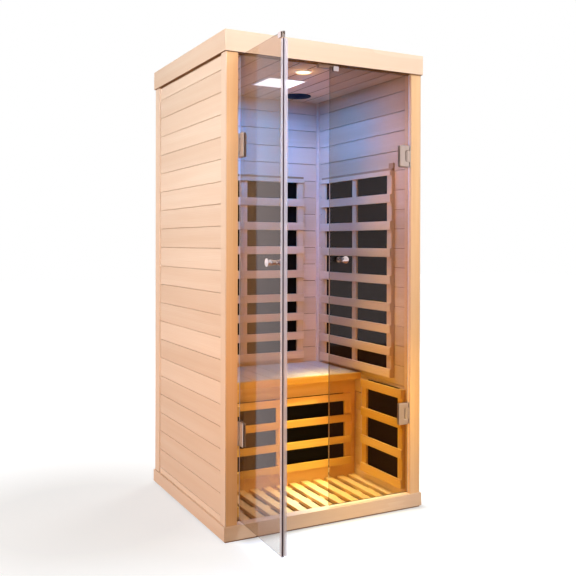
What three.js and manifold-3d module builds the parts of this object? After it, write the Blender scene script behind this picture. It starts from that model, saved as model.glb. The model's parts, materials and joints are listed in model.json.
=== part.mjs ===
// Infrared sauna cabin for one person, with two glass doors, the left one standing open.
// Millimetres, +Z up, front towards -Y, +X to the right as seen from the front.
// The origin is the centre of the base's underside.

import * as THREE from 'three';
import { mergeVertices } from 'three/addons/utils/BufferGeometryUtils.js';
import Module from 'manifold-3d';

const wasm = await Module();
wasm.setup();

// Overall size
const cabinWidth = 900;
const cabinDepth = 850;
const cabinHeight = 1900;
const baseHeight = 60;
const fasciaHeight = 80;
const trimOverhang = 6;

// Walls, posts and their boards
const wallThickness = 50;
const frontPostDepth = 47;
const backPostSize = 60;
const boardThickness = 12;
const boardRecess = 3;
const boardPitch = 83.7;
const topBoardHeight = 60;
const grooveWidth = 5;
const grooveDepth = 3;
const studWidth = 40;
const studInset = 90;

// Base and floor
const sillDepth = 40;
const deckThickness = 12;
const floorBattenHeight = 10;
const floorBattenWidth = 40;
const floorSlatThickness = 14;
const floorSlatWidth = 36;
const floorSlatGap = 25;
const floorRailWidth = 34;
const floorMargin = 4;

// Roof
const fasciaThickness = 18;
const ceilingThickness = 14;
const roofCoverThickness = 12;
const roofCoverDrop = 4;

// Ceiling fittings, placed from the middle of the cabin
const lightPanelSize = 180;
const lightPanelX = -13;
const lightPanelFlange = 8;
const lightPanelRim = 3;
const lightPanelDepth = 26;
const downlightRadius = 36;
const downlightLensRadius = 28;
const downlightRim = 5;
const downlightDepth = 30;
const downlightSleeve = 3;
const downlightX = -26;
const downlightY = -246;
const speakerRadius = 65;
const speakerRim = 4;
const speakerGrilleDrop = 9;
const speakerDepth = 40;
const speakerFlange = 10;
const speakerX = 203;
const speakerY = 236;
const powerBoxWidth = 200;
const powerBoxDepth = 160;
const powerBoxHeight = 42;
const powerBoxX = -230;
const powerBoxY = 220;
const glandRadius = 10;
const glandStandUp = 3;

// Bench
const benchTop = 515;
const benchDepth = 405;
const seatThickness = 30;
const riserSetback = 53;
const riserThickness = 18;
const cleatWidth = 25;
const cleatHeight = 40;

// Heaters and their slatted guards
const heaterThickness = 6;
const stileDepth = 16;
const stileWidth = 35;
const slatDepth = 8;
const sideHeaterRise = 16;
const sideHeaterFrontGap = 73;
const sideHeaterBackGap = 65;
const raisedStileHeight = 34;
const backHeaterRise = 22;
const backHeaterLeftGap = 54;
const backHeaterRightGap = 92;
const wallSlatHeight = 38;
const wallTopSlatHeight = 20;
const tallCellHeight = 80;
const tallCellRows = 5;
const shortCellHeight = 57;
const shortCellRows = 3;
const calfHeaterRise = 38;
const calfSlatHeight = 38;
const calfCellHeight = 89;
const calfCellRows = 3;
const calfToBench = 33;
const calfToHinge = 4;
const benchHeaterSideGap = 30;
const benchHeaterRise = 55;
const benchSlatHeight = 33;
const benchCellHeight = 65;
const benchCellRows = 3;

// Glass doors
const glassThickness = 8;
const glassSetback = 3;
const glassBottomGap = 10;
const glassTopGap = 8;
const glassPastPivot = 8;
const meetingGap = 6;
const leftDoorAngle = 92;
const doorFit = 0.3;

// Glass hinges
const hingeHeight = 90;
const hingeReach = 42;
const hingePivotGap = 16;
const hingePlateThickness = 4;
const hingePlateDepth = 30;
const hingePlateInset = 1;
const clampThickness = 5.2;
const knuckleHeight = 46;
const knuckleGap = 0.4;
const knuckleSpace = 3;
const glassNotchHeight = 64;
const glassNotchDepth = 30;
const pinRadius = 3.5;
const upperHingeInset = 337;
const lowerHingeInset = 330;

// Knobs, strikes, catch and seal of the doors
const knobHeight = 1046;
const knobInset = 53;
const knobLength = 37;
const knobFaceRadius = 14.5;
const knobFaceThickness = 4;
const knobFaceEdge = 1;
const knobNeckRadius = 8.5;
const knobNeckLength = 7;
const knobBulbRadius = 11;
const knobBulbReach = 17;
const innerKnobLength = 14;
const innerKnobRadius = 11.5;
const knobStudRadius = 5;
const knobStudGrip = 8;
const strikeWidth = 24;
const strikeHeight = 18;
const strikeThickness = 1.5;
const strikeInset = 26;
const catchWidth = 84;
const catchDepth = 20;
const catchHeight = 14;
const catchGap = 0.5;
const sealThickness = 2;
const sealLeg = 11;
const sealLip = 7;
const sealBottomGap = 4;
const sealTopGap = 24;

// Control panel on the left wall
const panelWidth = 150;
const panelHeight = 96;
const panelThickness = 14;
const panelRise = 72;
const panelFromPost = 120;
const buttonRadius = 8;
const buttonPitch = 40;
const buttonDrop = 22;
const buttonStandOut = 2.5;
const buttonTravel = 1.5;
const buttonWell = 9;
const buttonEndGap = 0.3;
const runningFit = 0.3;

// Facets on round pieces
const fineFacets = 32;
const smallFacets = 16;

// Places that follow from the sizes
const wallX = cabinWidth / 2 - trimOverhang;
const wallY = cabinDepth / 2 - trimOverhang;
const innerX = wallX - wallThickness;
const innerBackY = wallY - wallThickness;
const wallTop = cabinHeight - fasciaHeight;
const sidePanelFrontY = -wallY + frontPostDepth;
const sidePanelBackY = wallY - backPostSize;
const sidePanelMidY = (sidePanelFrontY + sidePanelBackY) / 2;
const sidePanelWidth = sidePanelBackY - sidePanelFrontY;
const backPanelWidth = 2 * (wallX - backPostSize);
const studDepth = wallThickness - 2 * boardThickness - boardRecess;
const sillBackY = -cabinDepth / 2 + sillDepth;
const floorTop = deckThickness + floorBattenHeight + floorSlatThickness;
const ceilingTop = wallTop + ceilingThickness;
const roofCoverTop = cabinHeight - roofCoverDrop;
const seatFrontY = innerBackY - benchDepth;
const seatBottom = benchTop - seatThickness;
const riserFrontY = seatFrontY + riserSetback;
const glassHalf = glassThickness / 2;
const glassY = -wallY + glassSetback + glassHalf;
const glassBottom = baseHeight + glassBottomGap;
const glassTop = wallTop - glassTopGap;
const pivotX = innerX - hingePivotGap;
const freeEdge = pivotX - meetingGap / 2;
const clampHalf = glassHalf + doorFit + clampThickness;
const hingePlateFrontY = -wallY + hingePlateInset;
const calfFrontY = hingePlateFrontY + hingePlateDepth + calfToHinge;
const calfBackY = seatFrontY - calfToBench;
const sideHeaterFrontY = sidePanelFrontY + sideHeaterFrontGap;
const sideHeaterBackY = innerBackY - sideHeaterBackGap;
const backHeaterLeftX = -innerX + backHeaterLeftGap;
const backHeaterRightX = innerX - backHeaterRightGap;
const shortRowsHeight = shortCellRows * (wallSlatHeight + shortCellHeight);
const tallRowsHeight = tallCellRows * (wallSlatHeight + tallCellHeight);
const wallGuardHeight = shortRowsHeight + tallRowsHeight + wallTopSlatHeight;
const sideHeaterBottom = benchTop + sideHeaterRise;
const raisedStileTop = sideHeaterBottom + wallGuardHeight + raisedStileHeight;
const hingeHeights = { upper: glassTop - upperHingeInset, lower: glassBottom + lowerHingeInset };
const facingFront = 0;
const facingLeft = -Math.PI / 2;
const facingRight = Math.PI / 2;
const facingBack = Math.PI;

// Finishes
function finish(color, roughness, metalness = 0) {
  return new THREE.MeshStandardMaterial({ color, roughness, metalness });
}

const paleWood = finish('#f0cfae', 0.6);
const honeyWood = finish('#e6b98a', 0.6);
const innerWood = finish('#dcae82', 0.6);
const heaterBlack = finish('#0c0b0b', 0.45);
const bronzeGlass = finish('#8d7064', 0.05);
const satinSteel = finish('#b9b2aa', 0.3, 1);
const chrome = finish('#d8d8da', 0.1, 1);
const clearSeal = finish('#e3dfe6', 0.3);
const whitePlastic = finish('#f4f4f6', 0.4);
const blackPlastic = finish('#15161a', 0.5);
const speakerBlue = finish('#141c2c', 0.5);
const lampLens = finish('#fff2cf', 0.3);
const sheetSteel = finish('#9a9ca0', 0.5, 1);

// Basic shapes
function block(x0, x1, y0, y1, z0, z1) {
  const geometry = new THREE.BoxGeometry(x1 - x0, y1 - y0, z1 - z0);
  return geometry.translate((x0 + x1) / 2, (y0 + y1) / 2, (z0 + z1) / 2);
}

function uprightRod(radius, z0, z1, facets) {
  const geometry = new THREE.CylinderGeometry(radius, radius, z1 - z0, facets);
  return geometry.rotateX(Math.PI / 2).translate(0, 0, (z0 + z1) / 2);
}

// A turned piece: each profile point is [radius, height], from the axis round to the axis.
function turned(profile, facets) {
  const points = profile.map(([radius, height]) => new THREE.Vector2(radius, height));
  return new THREE.LatheGeometry(points, facets);
}

// Booleans
function toSolid(geometry) {
  const bare = geometry.clone();
  bare.deleteAttribute('normal');
  bare.deleteAttribute('uv');
  const merged = mergeVertices(bare);
  const corners = merged.index.array;
  const triangles = [];
  for (let i = 0; i < corners.length; i += 3) {
    const [a, b, c] = corners.slice(i, i + 3);
    if (a !== b && b !== c && c !== a) triangles.push(a, b, c);
  }
  return new wasm.Manifold(new wasm.Mesh({
    numProp: 3,
    vertProperties: new Float32Array(merged.attributes.position.array),
    triVerts: new Uint32Array(triangles),
  }));
}

function toGeometry(solid) {
  const mesh = solid.getMesh();
  const geometry = new THREE.BufferGeometry();
  geometry.setAttribute('position', new THREE.BufferAttribute(mesh.vertProperties, 3));
  geometry.setIndex(new THREE.BufferAttribute(mesh.triVerts, 1));
  geometry.computeVertexNormals();
  return geometry;
}

function join(first, ...others) {
  return toGeometry(others.reduce((solid, other) => solid.add(toSolid(other)), toSolid(first)));
}

function cut(body, ...tools) {
  return toGeometry(tools.reduce((solid, tool) => solid.subtract(toSolid(tool)), toSolid(body)));
}

// The scene
const cabin = new THREE.Group();

function addPiece(name, geometry, material, parent = cabin) {
  const piece = new THREE.Mesh(geometry, material);
  piece.name = name;
  parent.add(piece);
  return piece;
}

// A group on a wall: its own -Y looks the way that the wall's face does.
function onWall(x, y, facing, parent = cabin) {
  const group = new THREE.Group();
  group.position.set(x, y, 0);
  group.rotation.z = facing;
  parent.add(group);
  return group;
}

// Boards: an outline along the pitch, with a V groove in its face where two boards meet.
function boardOutline(from, to, thickness, grooves) {
  const outline = new THREE.Shape();
  outline.moveTo(from, 0);
  outline.lineTo(to, 0);
  outline.lineTo(to, thickness);
  for (const groove of grooves) {
    outline.lineTo(groove + grooveWidth / 2, thickness);
    outline.lineTo(groove, thickness - grooveDepth);
    outline.lineTo(groove - grooveWidth / 2, thickness);
  }
  outline.lineTo(from, thickness);
  outline.closePath();
  return outline;
}

function groovesDown(first, lowest) {
  const grooves = [];
  for (let height = first; height > lowest + grooveWidth; height -= boardPitch) grooves.push(height);
  return grooves;
}

// Level boards on a wall group, standing out from its plane by the board's thickness.
function wallBoards(width) {
  const grooves = groovesDown(wallTop - topBoardHeight, baseHeight);
  const outline = boardOutline(baseHeight, wallTop, boardThickness, grooves);
  const geometry = new THREE.ExtrudeGeometry(outline, { depth: width, bevelEnabled: false });
  const upright = new THREE.Matrix4().makeBasis(
    new THREE.Vector3(0, 0, 1), new THREE.Vector3(0, -1, 0), new THREE.Vector3(1, 0, 0));
  return geometry.applyMatrix4(upright).translate(-width / 2, 0, 0);
}

// Outer boards carry the studs that the inner boards are nailed to.
function outerPanel(width) {
  const studs = [-1, 0, 1].map((side) => {
    const middle = side * (width / 2 - studInset);
    return block(middle - studWidth / 2, middle + studWidth / 2, 0, studDepth, baseHeight, wallTop);
  });
  return join(wallBoards(width), ...studs);
}

function addWalls() {
  const outerBackX = wallX - boardRecess - boardThickness;
  const outerBackY = wallY - boardRecess - boardThickness;
  const innerBoardX = innerX + boardThickness;
  const left = onWall(-outerBackX, sidePanelMidY, facingLeft);
  const right = onWall(outerBackX, sidePanelMidY, facingRight);
  const back = onWall(0, outerBackY, facingBack);
  addPiece('left_outer_boards', outerPanel(sidePanelWidth), paleWood, left);
  addPiece('right_outer_boards', outerPanel(sidePanelWidth), paleWood, right);
  addPiece('back_outer_boards', outerPanel(backPanelWidth), paleWood, back);
  const leftInner = onWall(-innerBoardX, sidePanelMidY, facingRight);
  const rightInner = onWall(innerBoardX, sidePanelMidY, facingLeft);
  const backInner = onWall(0, innerBackY + boardThickness, facingFront);
  addPiece('left_inner_boards', wallBoards(sidePanelWidth), innerWood, leftInner);
  addPiece('right_inner_boards', wallBoards(sidePanelWidth), innerWood, rightInner);
  addPiece('back_inner_boards', wallBoards(backPanelWidth), innerWood, backInner);
}

function sideBlock(side, xIn, xOut, y0, y1, z0, z1) {
  return side < 0 ? block(-xOut, -xIn, y0, y1, z0, z1) : block(xIn, xOut, y0, y1, z0, z1);
}

const sides = [['left', -1], ['right', 1]];

function backPost(side, growth) {
  const innerEdge = wallX - backPostSize - growth;
  return sideBlock(side, innerEdge, wallX, sidePanelBackY - growth, wallY, baseHeight, wallTop);
}

function addPosts() {
  for (const [name, side] of sides) {
    const front = sideBlock(side, innerX, wallX, -wallY, sidePanelFrontY, baseHeight, wallTop);
    addPiece(`${name}_front_post`, front, honeyWood);
    addPiece(`${name}_back_post`, backPost(side, 0), paleWood);
  }
}

// Base: a plinth frame round a deck, with a loose slatted floor on the deck.
function addBase() {
  const frame = block(-cabinWidth / 2, cabinWidth / 2, -cabinDepth / 2, cabinDepth / 2, 0, baseHeight);
  const well = block(-innerX, innerX, sillBackY, innerBackY, -baseHeight, 2 * baseHeight);
  addPiece('base_plinth', cut(frame, well), paleWood);
  addPiece('floor_deck', block(-innerX, innerX, sillBackY, innerBackY, 0, deckThickness), innerWood);
}

function addFloorSlats() {
  const halfWidth = innerX - floorMargin;
  const frontY = sillBackY + floorMargin / 2;
  const backY = riserFrontY - floorMargin / 2;
  const battenTop = deckThickness + floorBattenHeight;
  const slatCount = Math.round((2 * halfWidth + floorSlatGap) / (floorSlatWidth + floorSlatGap));
  const slatPitch = (2 * halfWidth - floorSlatWidth) / (slatCount - 1);
  const pieces = [block(-halfWidth, halfWidth, frontY, frontY + floorRailWidth, battenTop, floorTop)];
  const battenPlaces = [frontY, (frontY + backY - floorBattenWidth) / 2, backY - floorBattenWidth];
  for (const y of battenPlaces) {
    pieces.push(block(-halfWidth, halfWidth, y, y + floorBattenWidth, deckThickness, battenTop));
  }
  for (let i = 0; i < slatCount; i += 1) {
    const x = -halfWidth + i * slatPitch;
    pieces.push(block(x, x + floorSlatWidth, frontY + floorRailWidth, backY, battenTop, floorTop));
  }
  addPiece('floor_slats', join(...pieces), honeyWood);
}

// Roof: a mitred fascia frame that holds the ceiling boards below and the cover above.
const roofX = cabinWidth / 2 - fasciaThickness;
const roofY = cabinDepth / 2 - fasciaThickness;

function addRoof() {
  const frame = block(-cabinWidth / 2, cabinWidth / 2, -cabinDepth / 2, cabinDepth / 2, wallTop, cabinHeight);
  const well = block(-roofX, roofX, -roofY, roofY, wallTop - fasciaHeight, cabinHeight + fasciaHeight);
  addPiece('roof_fascia', cut(frame, well), paleWood);
  const cover = block(-roofX, roofX, -roofY, roofY, roofCoverTop - roofCoverThickness, roofCoverTop);
  const glandHole = uprightRod(glandRadius + runningFit, ceilingTop, cabinHeight, smallFacets);
  addPiece('roof_cover', cut(cover, glandHole.translate(powerBoxX, powerBoxY, 0)), innerWood);
}

function lightPanelBody(growth) {
  const half = lightPanelSize / 2 - lightPanelFlange + growth;
  const [x0, x1] = [lightPanelX - half, lightPanelX + half];
  return block(x0, x1, -half, half, wallTop - lightPanelRim, wallTop + lightPanelDepth);
}

function ceilingHole(radius, x, y) {
  return uprightRod(radius + runningFit, wallTop - boardThickness, ceilingTop + boardThickness, fineFacets)
    .translate(x, y, 0);
}

function addCeiling() {
  const grooves = groovesDown(roofX - boardPitch / 2, -roofX);
  const outline = boardOutline(-roofX, roofX, ceilingThickness, grooves);
  const boards = new THREE.ExtrudeGeometry(outline, { depth: 2 * roofY, bevelEnabled: false });
  boards.rotateX(-Math.PI / 2).translate(0, -roofY, ceilingTop);
  const holes = [
    lightPanelBody(runningFit),
    ceilingHole(downlightLensRadius + downlightSleeve, downlightX, downlightY),
    ceilingHole(speakerRadius - speakerFlange, speakerX, speakerY),
  ];
  addPiece('ceiling_boards', cut(boards, ...holes), innerWood);
}

function addCeilingFittings() {
  const half = lightPanelSize / 2;
  const [x0, x1] = [lightPanelX - half, lightPanelX + half];
  const rim = block(x0, x1, -half, half, wallTop - lightPanelRim, wallTop);
  addPiece('light_panel', join(rim, lightPanelBody(0)), whitePlastic);

  const sleeveRadius = downlightLensRadius + downlightSleeve;
  const ring = turned([
    [downlightLensRadius, -downlightRim],
    [downlightRadius - downlightRim, -downlightRim],
    [downlightRadius, -downlightRim / 2],
    [downlightRadius, 0],
    [sleeveRadius, 0],
    [sleeveRadius, downlightDepth],
    [downlightLensRadius, downlightDepth],
    [downlightLensRadius, -downlightRim],
  ], fineFacets);
  const ringPiece = addPiece('downlight_ring', ring.rotateX(Math.PI / 2), whitePlastic);
  ringPiece.position.set(downlightX, downlightY, wallTop);
  const lensRadius = downlightLensRadius - runningFit;
  const lensBottom = -downlightRim / 2;
  const lens = uprightRod(lensRadius, lensBottom, lensBottom + downlightRim, fineFacets);
  addPiece('downlight_lens', lens, lampLens).position.set(downlightX, downlightY, wallTop);

  const basketRadius = speakerRadius - speakerFlange;
  const speaker = turned([
    [0, -speakerGrilleDrop],
    [basketRadius / 2, -speakerGrilleDrop],
    [basketRadius, -speakerRim],
    [speakerRadius, -speakerRim],
    [speakerRadius, 0],
    [basketRadius, 0],
    [basketRadius, ceilingThickness],
    [basketRadius / 2, speakerDepth],
    [0, speakerDepth],
  ], fineFacets);
  addPiece('speaker', speaker.rotateX(Math.PI / 2), speakerBlue).position.set(speakerX, speakerY, wallTop);
}

// The power box lies on the ceiling boards. Its cable gland comes up through the roof cover.
function addPowerBox() {
  const [halfX, halfY] = [powerBoxWidth / 2, powerBoxDepth / 2];
  const boxTop = ceilingTop + powerBoxHeight;
  const box = block(-halfX, halfX, -halfY, halfY, ceilingTop, boxTop);
  const gland = uprightRod(glandRadius, ceilingTop, roofCoverTop + glandStandUp, smallFacets);
  addPiece('power_box', join(box, gland), sheetSteel).position.set(powerBoxX, powerBoxY, 0);
}

// Bench: a seat on a riser with cleats along the walls, all cut clear of the back posts.
function addBench() {
  const postCorners = [backPost(-1, runningFit), backPost(1, runningFit)];
  const seat = block(-innerX, innerX, seatFrontY, innerBackY, seatBottom, benchTop);
  addPiece('bench_seat', cut(seat, ...postCorners), honeyWood);
  const cleatBottom = seatBottom - cleatHeight;
  const riserBackY = riserFrontY + riserThickness;
  const frame = join(
    block(-innerX, innerX, riserFrontY, riserBackY, deckThickness, seatBottom),
    block(-innerX, -innerX + cleatWidth, riserBackY, innerBackY, cleatBottom, seatBottom),
    block(innerX - cleatWidth, innerX, riserBackY, innerBackY, cleatBottom, seatBottom),
    block(-innerX, innerX, innerBackY - cleatWidth, innerBackY, cleatBottom, seatBottom),
  );
  addPiece('bench_frame', cut(frame, ...postCorners), honeyWood);
}

// A heater: a black panel on the wall and a guard of stiles with level slats across their fronts.
// The raised stile, where there is one, stands on towards the ceiling behind the top slat.
function addHeater(name, group, { width, bottom, cells, slatHeight, topSlatHeight, columns, raisedEnd = 0 }) {
  const half = width / 2;
  const slatsTop = bottom + cells.reduce((height, cell) => height + slatHeight + cell, topSlatHeight);
  const panelHalf = half - stileWidth;
  const panel = block(-panelHalf, panelHalf, -heaterThickness, 0, bottom, slatsTop);
  addPiece(`${name}_heater`, panel, heaterBlack, group);
  const pieces = [
    block(-half, -panelHalf, -stileDepth, 0, bottom, slatsTop),
    block(panelHalf, half, -stileDepth, 0, bottom, slatsTop),
  ];
  for (let column = 1; column < columns; column += 1) {
    const middle = -panelHalf + (2 * panelHalf * column) / columns;
    const [x0, x1] = [middle - stileWidth / 2, middle + stileWidth / 2];
    pieces.push(block(x0, x1, -stileDepth, -heaterThickness, bottom, slatsTop));
  }
  if (raisedEnd !== 0) {
    pieces.push(sideBlock(raisedEnd, panelHalf, half, -stileDepth / 2, 0, bottom, raisedStileTop));
  }
  const slatFront = -stileDepth - slatDepth;
  let slatBottom = bottom;
  for (const cell of cells) {
    pieces.push(block(-half, half, slatFront, -stileDepth, slatBottom, slatBottom + slatHeight));
    slatBottom += slatHeight + cell;
  }
  pieces.push(block(-half, half, slatFront, -stileDepth, slatBottom, slatsTop));
  addPiece(`${name}_guard`, join(...pieces), honeyWood, group);
}

function addHeaters() {
  const wallCells = [
    ...Array(shortCellRows).fill(shortCellHeight),
    ...Array(tallCellRows).fill(tallCellHeight),
  ];
  const wallHeater = {
    cells: wallCells,
    slatHeight: wallSlatHeight,
    topSlatHeight: wallTopSlatHeight,
    columns: 2,
  };
  const calfHeater = {
    width: calfBackY - calfFrontY,
    bottom: floorTop + calfHeaterRise,
    cells: Array(calfCellRows).fill(calfCellHeight),
    slatHeight: calfSlatHeight,
    topSlatHeight: calfSlatHeight,
    columns: 1,
  };
  for (const [name, side] of sides) {
    const facing = side < 0 ? facingRight : facingLeft;
    const upper = onWall(side * innerX, (sideHeaterFrontY + sideHeaterBackY) / 2, facing);
    addHeater(`${name}_wall`, upper, {
      ...wallHeater,
      width: sideHeaterBackY - sideHeaterFrontY,
      bottom: sideHeaterBottom,
      raisedEnd: side,
    });
    addHeater(`${name}_calf`, onWall(side * innerX, (calfFrontY + calfBackY) / 2, facing), calfHeater);
  }
  const back = onWall((backHeaterLeftX + backHeaterRightX) / 2, innerBackY, facingFront);
  addHeater('back_wall', back, {
    ...wallHeater,
    width: backHeaterRightX - backHeaterLeftX,
    bottom: benchTop + backHeaterRise,
  });
  addHeater('bench', onWall(0, riserFrontY, facingFront), {
    width: 2 * (innerX - benchHeaterSideGap),
    bottom: floorTop + benchHeaterRise,
    cells: Array(benchCellRows).fill(benchCellHeight),
    slatHeight: benchSlatHeight,
    topSlatHeight: benchSlatHeight,
    columns: 2,
  });
}

// Doors. Each is built round its own pivot line, closed, with the glass running towards hand * X.
function alongDoor(hand, a0, a1, y0, y1, z0, z1) {
  return hand > 0 ? block(a0, a1, y0, y1, z0, z1) : block(-a1, -a0, y0, y1, z0, z1);
}

function doorGlass(hand) {
  const pane = alongDoor(hand, -glassPastPivot, freeEdge, -glassHalf, glassHalf, glassBottom, glassTop);
  const notchEnd = glassNotchDepth - glassPastPivot;
  const notches = Object.values(hingeHeights).map((z) => alongDoor(
    hand, -2 * glassPastPivot, notchEnd, -glassThickness, glassThickness,
    z - glassNotchHeight / 2, z + glassNotchHeight / 2));
  const studHole = new THREE.CylinderGeometry(
    knobStudRadius + runningFit, knobStudRadius + runningFit, 2 * glassThickness, smallFacets);
  studHole.translate(hand * (freeEdge - knobInset), 0, knobHeight);
  return cut(pane, ...notches, studHole);
}

// The clamp holds the glass on both faces and turns on the pin, above and below the knuckle.
function hingeClamp(hand) {
  const top = hingeHeight / 2;
  const cheeks = join(
    alongDoor(hand, 0, hingeReach, -clampHalf, clampHalf, -top, top),
    uprightRod(clampHalf, -top, top, fineFacets),
  );
  const glassSpace = glassHalf + doorFit;
  const notchTop = glassNotchHeight / 2 - doorFit;
  const slot = cut(
    alongDoor(hand, -hingeReach, 2 * hingeReach, -glassSpace, glassSpace, -hingeHeight, hingeHeight),
    alongDoor(hand, -2 * hingeReach, glassNotchDepth - glassPastPivot - doorFit,
      -clampHalf, clampHalf, -notchTop, notchTop),
  );
  const knuckleRoom = alongDoor(hand, -hingeReach, clampHalf + knuckleSpace, -hingeReach, hingeReach,
    -knuckleHeight / 2, knuckleHeight / 2);
  const bore = uprightRod(pinRadius + runningFit, -hingeHeight, hingeHeight, smallFacets);
  return cut(cheeks, slot, knuckleRoom, bore);
}

// The bracket is screwed to the post's inner face and carries the pin in its knuckle.
function hingeBracket(hand) {
  const top = hingeHeight / 2;
  const knuckleTop = knuckleHeight / 2 - knuckleGap;
  const knuckleRadius = clampHalf - knuckleGap;
  const plateY = hingePlateFrontY - glassY;
  const plateFace = -hingePivotGap + hingePlateThickness;
  const body = join(
    alongDoor(hand, -hingePivotGap, plateFace, plateY, plateY + hingePlateDepth, -top, top),
    alongDoor(hand, plateFace, 0, plateY, clampHalf - knuckleGap, -knuckleTop, knuckleTop),
    uprightRod(knuckleRadius, -knuckleTop, knuckleTop, fineFacets),
  );
  return cut(body, uprightRod(pinRadius + runningFit, -hingeHeight, hingeHeight, smallFacets));
}

// Knobs: the outer one has a stud that goes through the glass into the socket of the inner one.
function outerKnob() {
  const studEnd = runningFit - knobStudGrip - glassThickness - 2 * doorFit;
  const faceBack = knobLength - knobFaceThickness;
  return turned([
    [0, studEnd],
    [knobStudRadius, studEnd],
    [knobStudRadius, 0],
    [knobNeckRadius, 0],
    [knobNeckRadius, knobNeckLength],
    [knobBulbRadius, knobBulbReach],
    [knobNeckRadius, faceBack],
    [knobFaceRadius - knobFaceEdge, faceBack],
    [knobFaceRadius, faceBack + knobFaceEdge],
    [knobFaceRadius, knobLength - knobFaceEdge],
    [knobFaceRadius - knobFaceEdge, knobLength],
    [0, knobLength],
  ], fineFacets);
}

function innerKnob() {
  const socketRadius = knobStudRadius + runningFit;
  return turned([
    [0, knobStudGrip],
    [socketRadius, knobStudGrip],
    [socketRadius, 0],
    [knobNeckRadius, 0],
    [innerKnobRadius, innerKnobLength - knobFaceEdge],
    [innerKnobRadius - knobFaceEdge, innerKnobLength],
    [0, innerKnobLength],
  ], fineFacets);
}

function addKnobs(name, hand, door) {
  const along = hand * (freeEdge - knobInset);
  const outer = addPiece(`${name}_outer_knob`, outerKnob().rotateX(Math.PI), chrome, door);
  outer.position.set(along, -glassHalf - doorFit, knobHeight);
  const inner = addPiece(`${name}_inner_knob`, innerKnob(), chrome, door);
  inner.position.set(along, glassHalf + doorFit, knobHeight);
}

// A folded steel clip over the top edge of the glass, which the magnetic catch pulls on.
function doorStrike(hand) {
  const middle = freeEdge - strikeInset;
  const [a0, a1] = [middle - strikeWidth / 2, middle + strikeWidth / 2];
  const inside = glassHalf + doorFit;
  const outside = inside + strikeThickness;
  const [z0, z1] = [glassTop - strikeHeight, glassTop + doorFit + strikeThickness];
  const shell = alongDoor(hand, a0, a1, -outside, outside, z0, z1);
  return cut(shell, alongDoor(hand, a0 - strikeWidth, a1 + strikeWidth, -inside, inside,
    z0 - strikeHeight, glassTop + doorFit));
}

// A clear channel on the free edge of the left door, with a lip on the cabin's side.
function edgeSeal(hand) {
  const inside = glassHalf + doorFit;
  const outside = inside + sealThickness;
  const end = freeEdge + doorFit + sealThickness;
  const [z0, z1] = [glassBottom + sealBottomGap, glassTop - sealTopGap];
  const channel = cut(
    alongDoor(hand, freeEdge - sealLeg, end, -outside, outside, z0, z1),
    alongDoor(hand, freeEdge - 2 * sealLeg, freeEdge + doorFit, -inside, inside, z0 - sealLeg, z1 + sealLeg),
  );
  const lip = alongDoor(hand, end - 2 * sealThickness, end, inside, outside + sealLip, z0, z1);
  return join(channel, lip);
}

function addDoor(name, hand, openAngle) {
  const door = new THREE.Group();
  door.position.set(-hand * pivotX, glassY, 0);
  door.rotation.z = THREE.MathUtils.degToRad(-hand * openAngle);
  cabin.add(door);
  addPiece(`${name}_glass`, doorGlass(hand), bronzeGlass, door);
  for (const [level, z] of Object.entries(hingeHeights)) {
    addPiece(`${name}_${level}_hinge_clamp`, hingeClamp(hand), satinSteel, door).position.z = z;
    const bracket = addPiece(`${name}_${level}_hinge_bracket`, hingeBracket(hand), satinSteel);
    bracket.position.set(-hand * pivotX, glassY, z);
    const pinTop = glassNotchHeight / 2 - doorFit;
    const pinRod = uprightRod(pinRadius, -pinTop, pinTop, smallFacets);
    const pin = addPiece(`${name}_${level}_hinge_pin`, pinRod, chrome);
    pin.position.set(-hand * pivotX, glassY, z);
  }
  addKnobs(name, hand, door);
  addPiece(`${name}_strike`, doorStrike(hand), chrome, door);
  return door;
}

function addDoors() {
  const leftHand = 1;
  const leftDoor = addDoor('left_door', leftHand, leftDoorAngle);
  addPiece('left_door_seal', edgeSeal(leftHand), clearSeal, leftDoor);
  addDoor('right_door', -leftHand, 0);
  const catchFront = glassY + glassHalf + doorFit + strikeThickness + catchGap;
  const magnets = block(-catchWidth / 2, catchWidth / 2, catchFront, catchFront + catchDepth,
    wallTop - catchHeight, wallTop);
  addPiece('door_catch', magnets, whitePlastic);
}

// Control panel: a bezel on the left wall, above the guard, with two push buttons in wells.
function addControlPanel() {
  const group = onWall(-innerX, sidePanelFrontY + panelFromPost, facingRight);
  const [half, halfHeight] = [panelWidth / 2, panelHeight / 2];
  const middle = raisedStileTop + panelRise + halfHeight;
  const bezel = block(-half, half, -panelThickness, 0, middle - halfHeight, middle + halfHeight);
  const buttonZ = middle - buttonDrop;
  const wellRadius = buttonRadius + runningFit;
  const places = { heat_button: -buttonPitch / 2, light_button: buttonPitch / 2 };
  const wells = Object.values(places).map((x) => new THREE.CylinderGeometry(
    wellRadius, wellRadius, 2 * buttonWell, fineFacets).translate(x, -panelThickness, buttonZ));
  addPiece('control_panel', cut(bezel, ...wells), blackPlastic, group);
  const buttonBack = -panelThickness + buttonWell - buttonTravel - buttonEndGap;
  const buttonFront = -panelThickness - buttonStandOut;
  for (const [name, x] of Object.entries(places)) {
    const cap = new THREE.CylinderGeometry(buttonRadius, buttonRadius, buttonBack - buttonFront, fineFacets);
    addPiece(name, cap.translate(x, (buttonBack + buttonFront) / 2, buttonZ), whitePlastic, group);
  }
}

addBase();
addFloorSlats();
addPosts();
addWalls();
addRoof();
addCeiling();
addCeilingFittings();
addPowerBox();
addBench();
addHeaters();
addDoors();
addControlPanel();

export default cabin;
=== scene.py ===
"""Looks of the infrared sauna cabin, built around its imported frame.

Metres, +Z up, front towards -Y, +X to the right as seen from the front.
"""

import json
import math
import random

import bpy
from mathutils import Matrix, Vector


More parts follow.
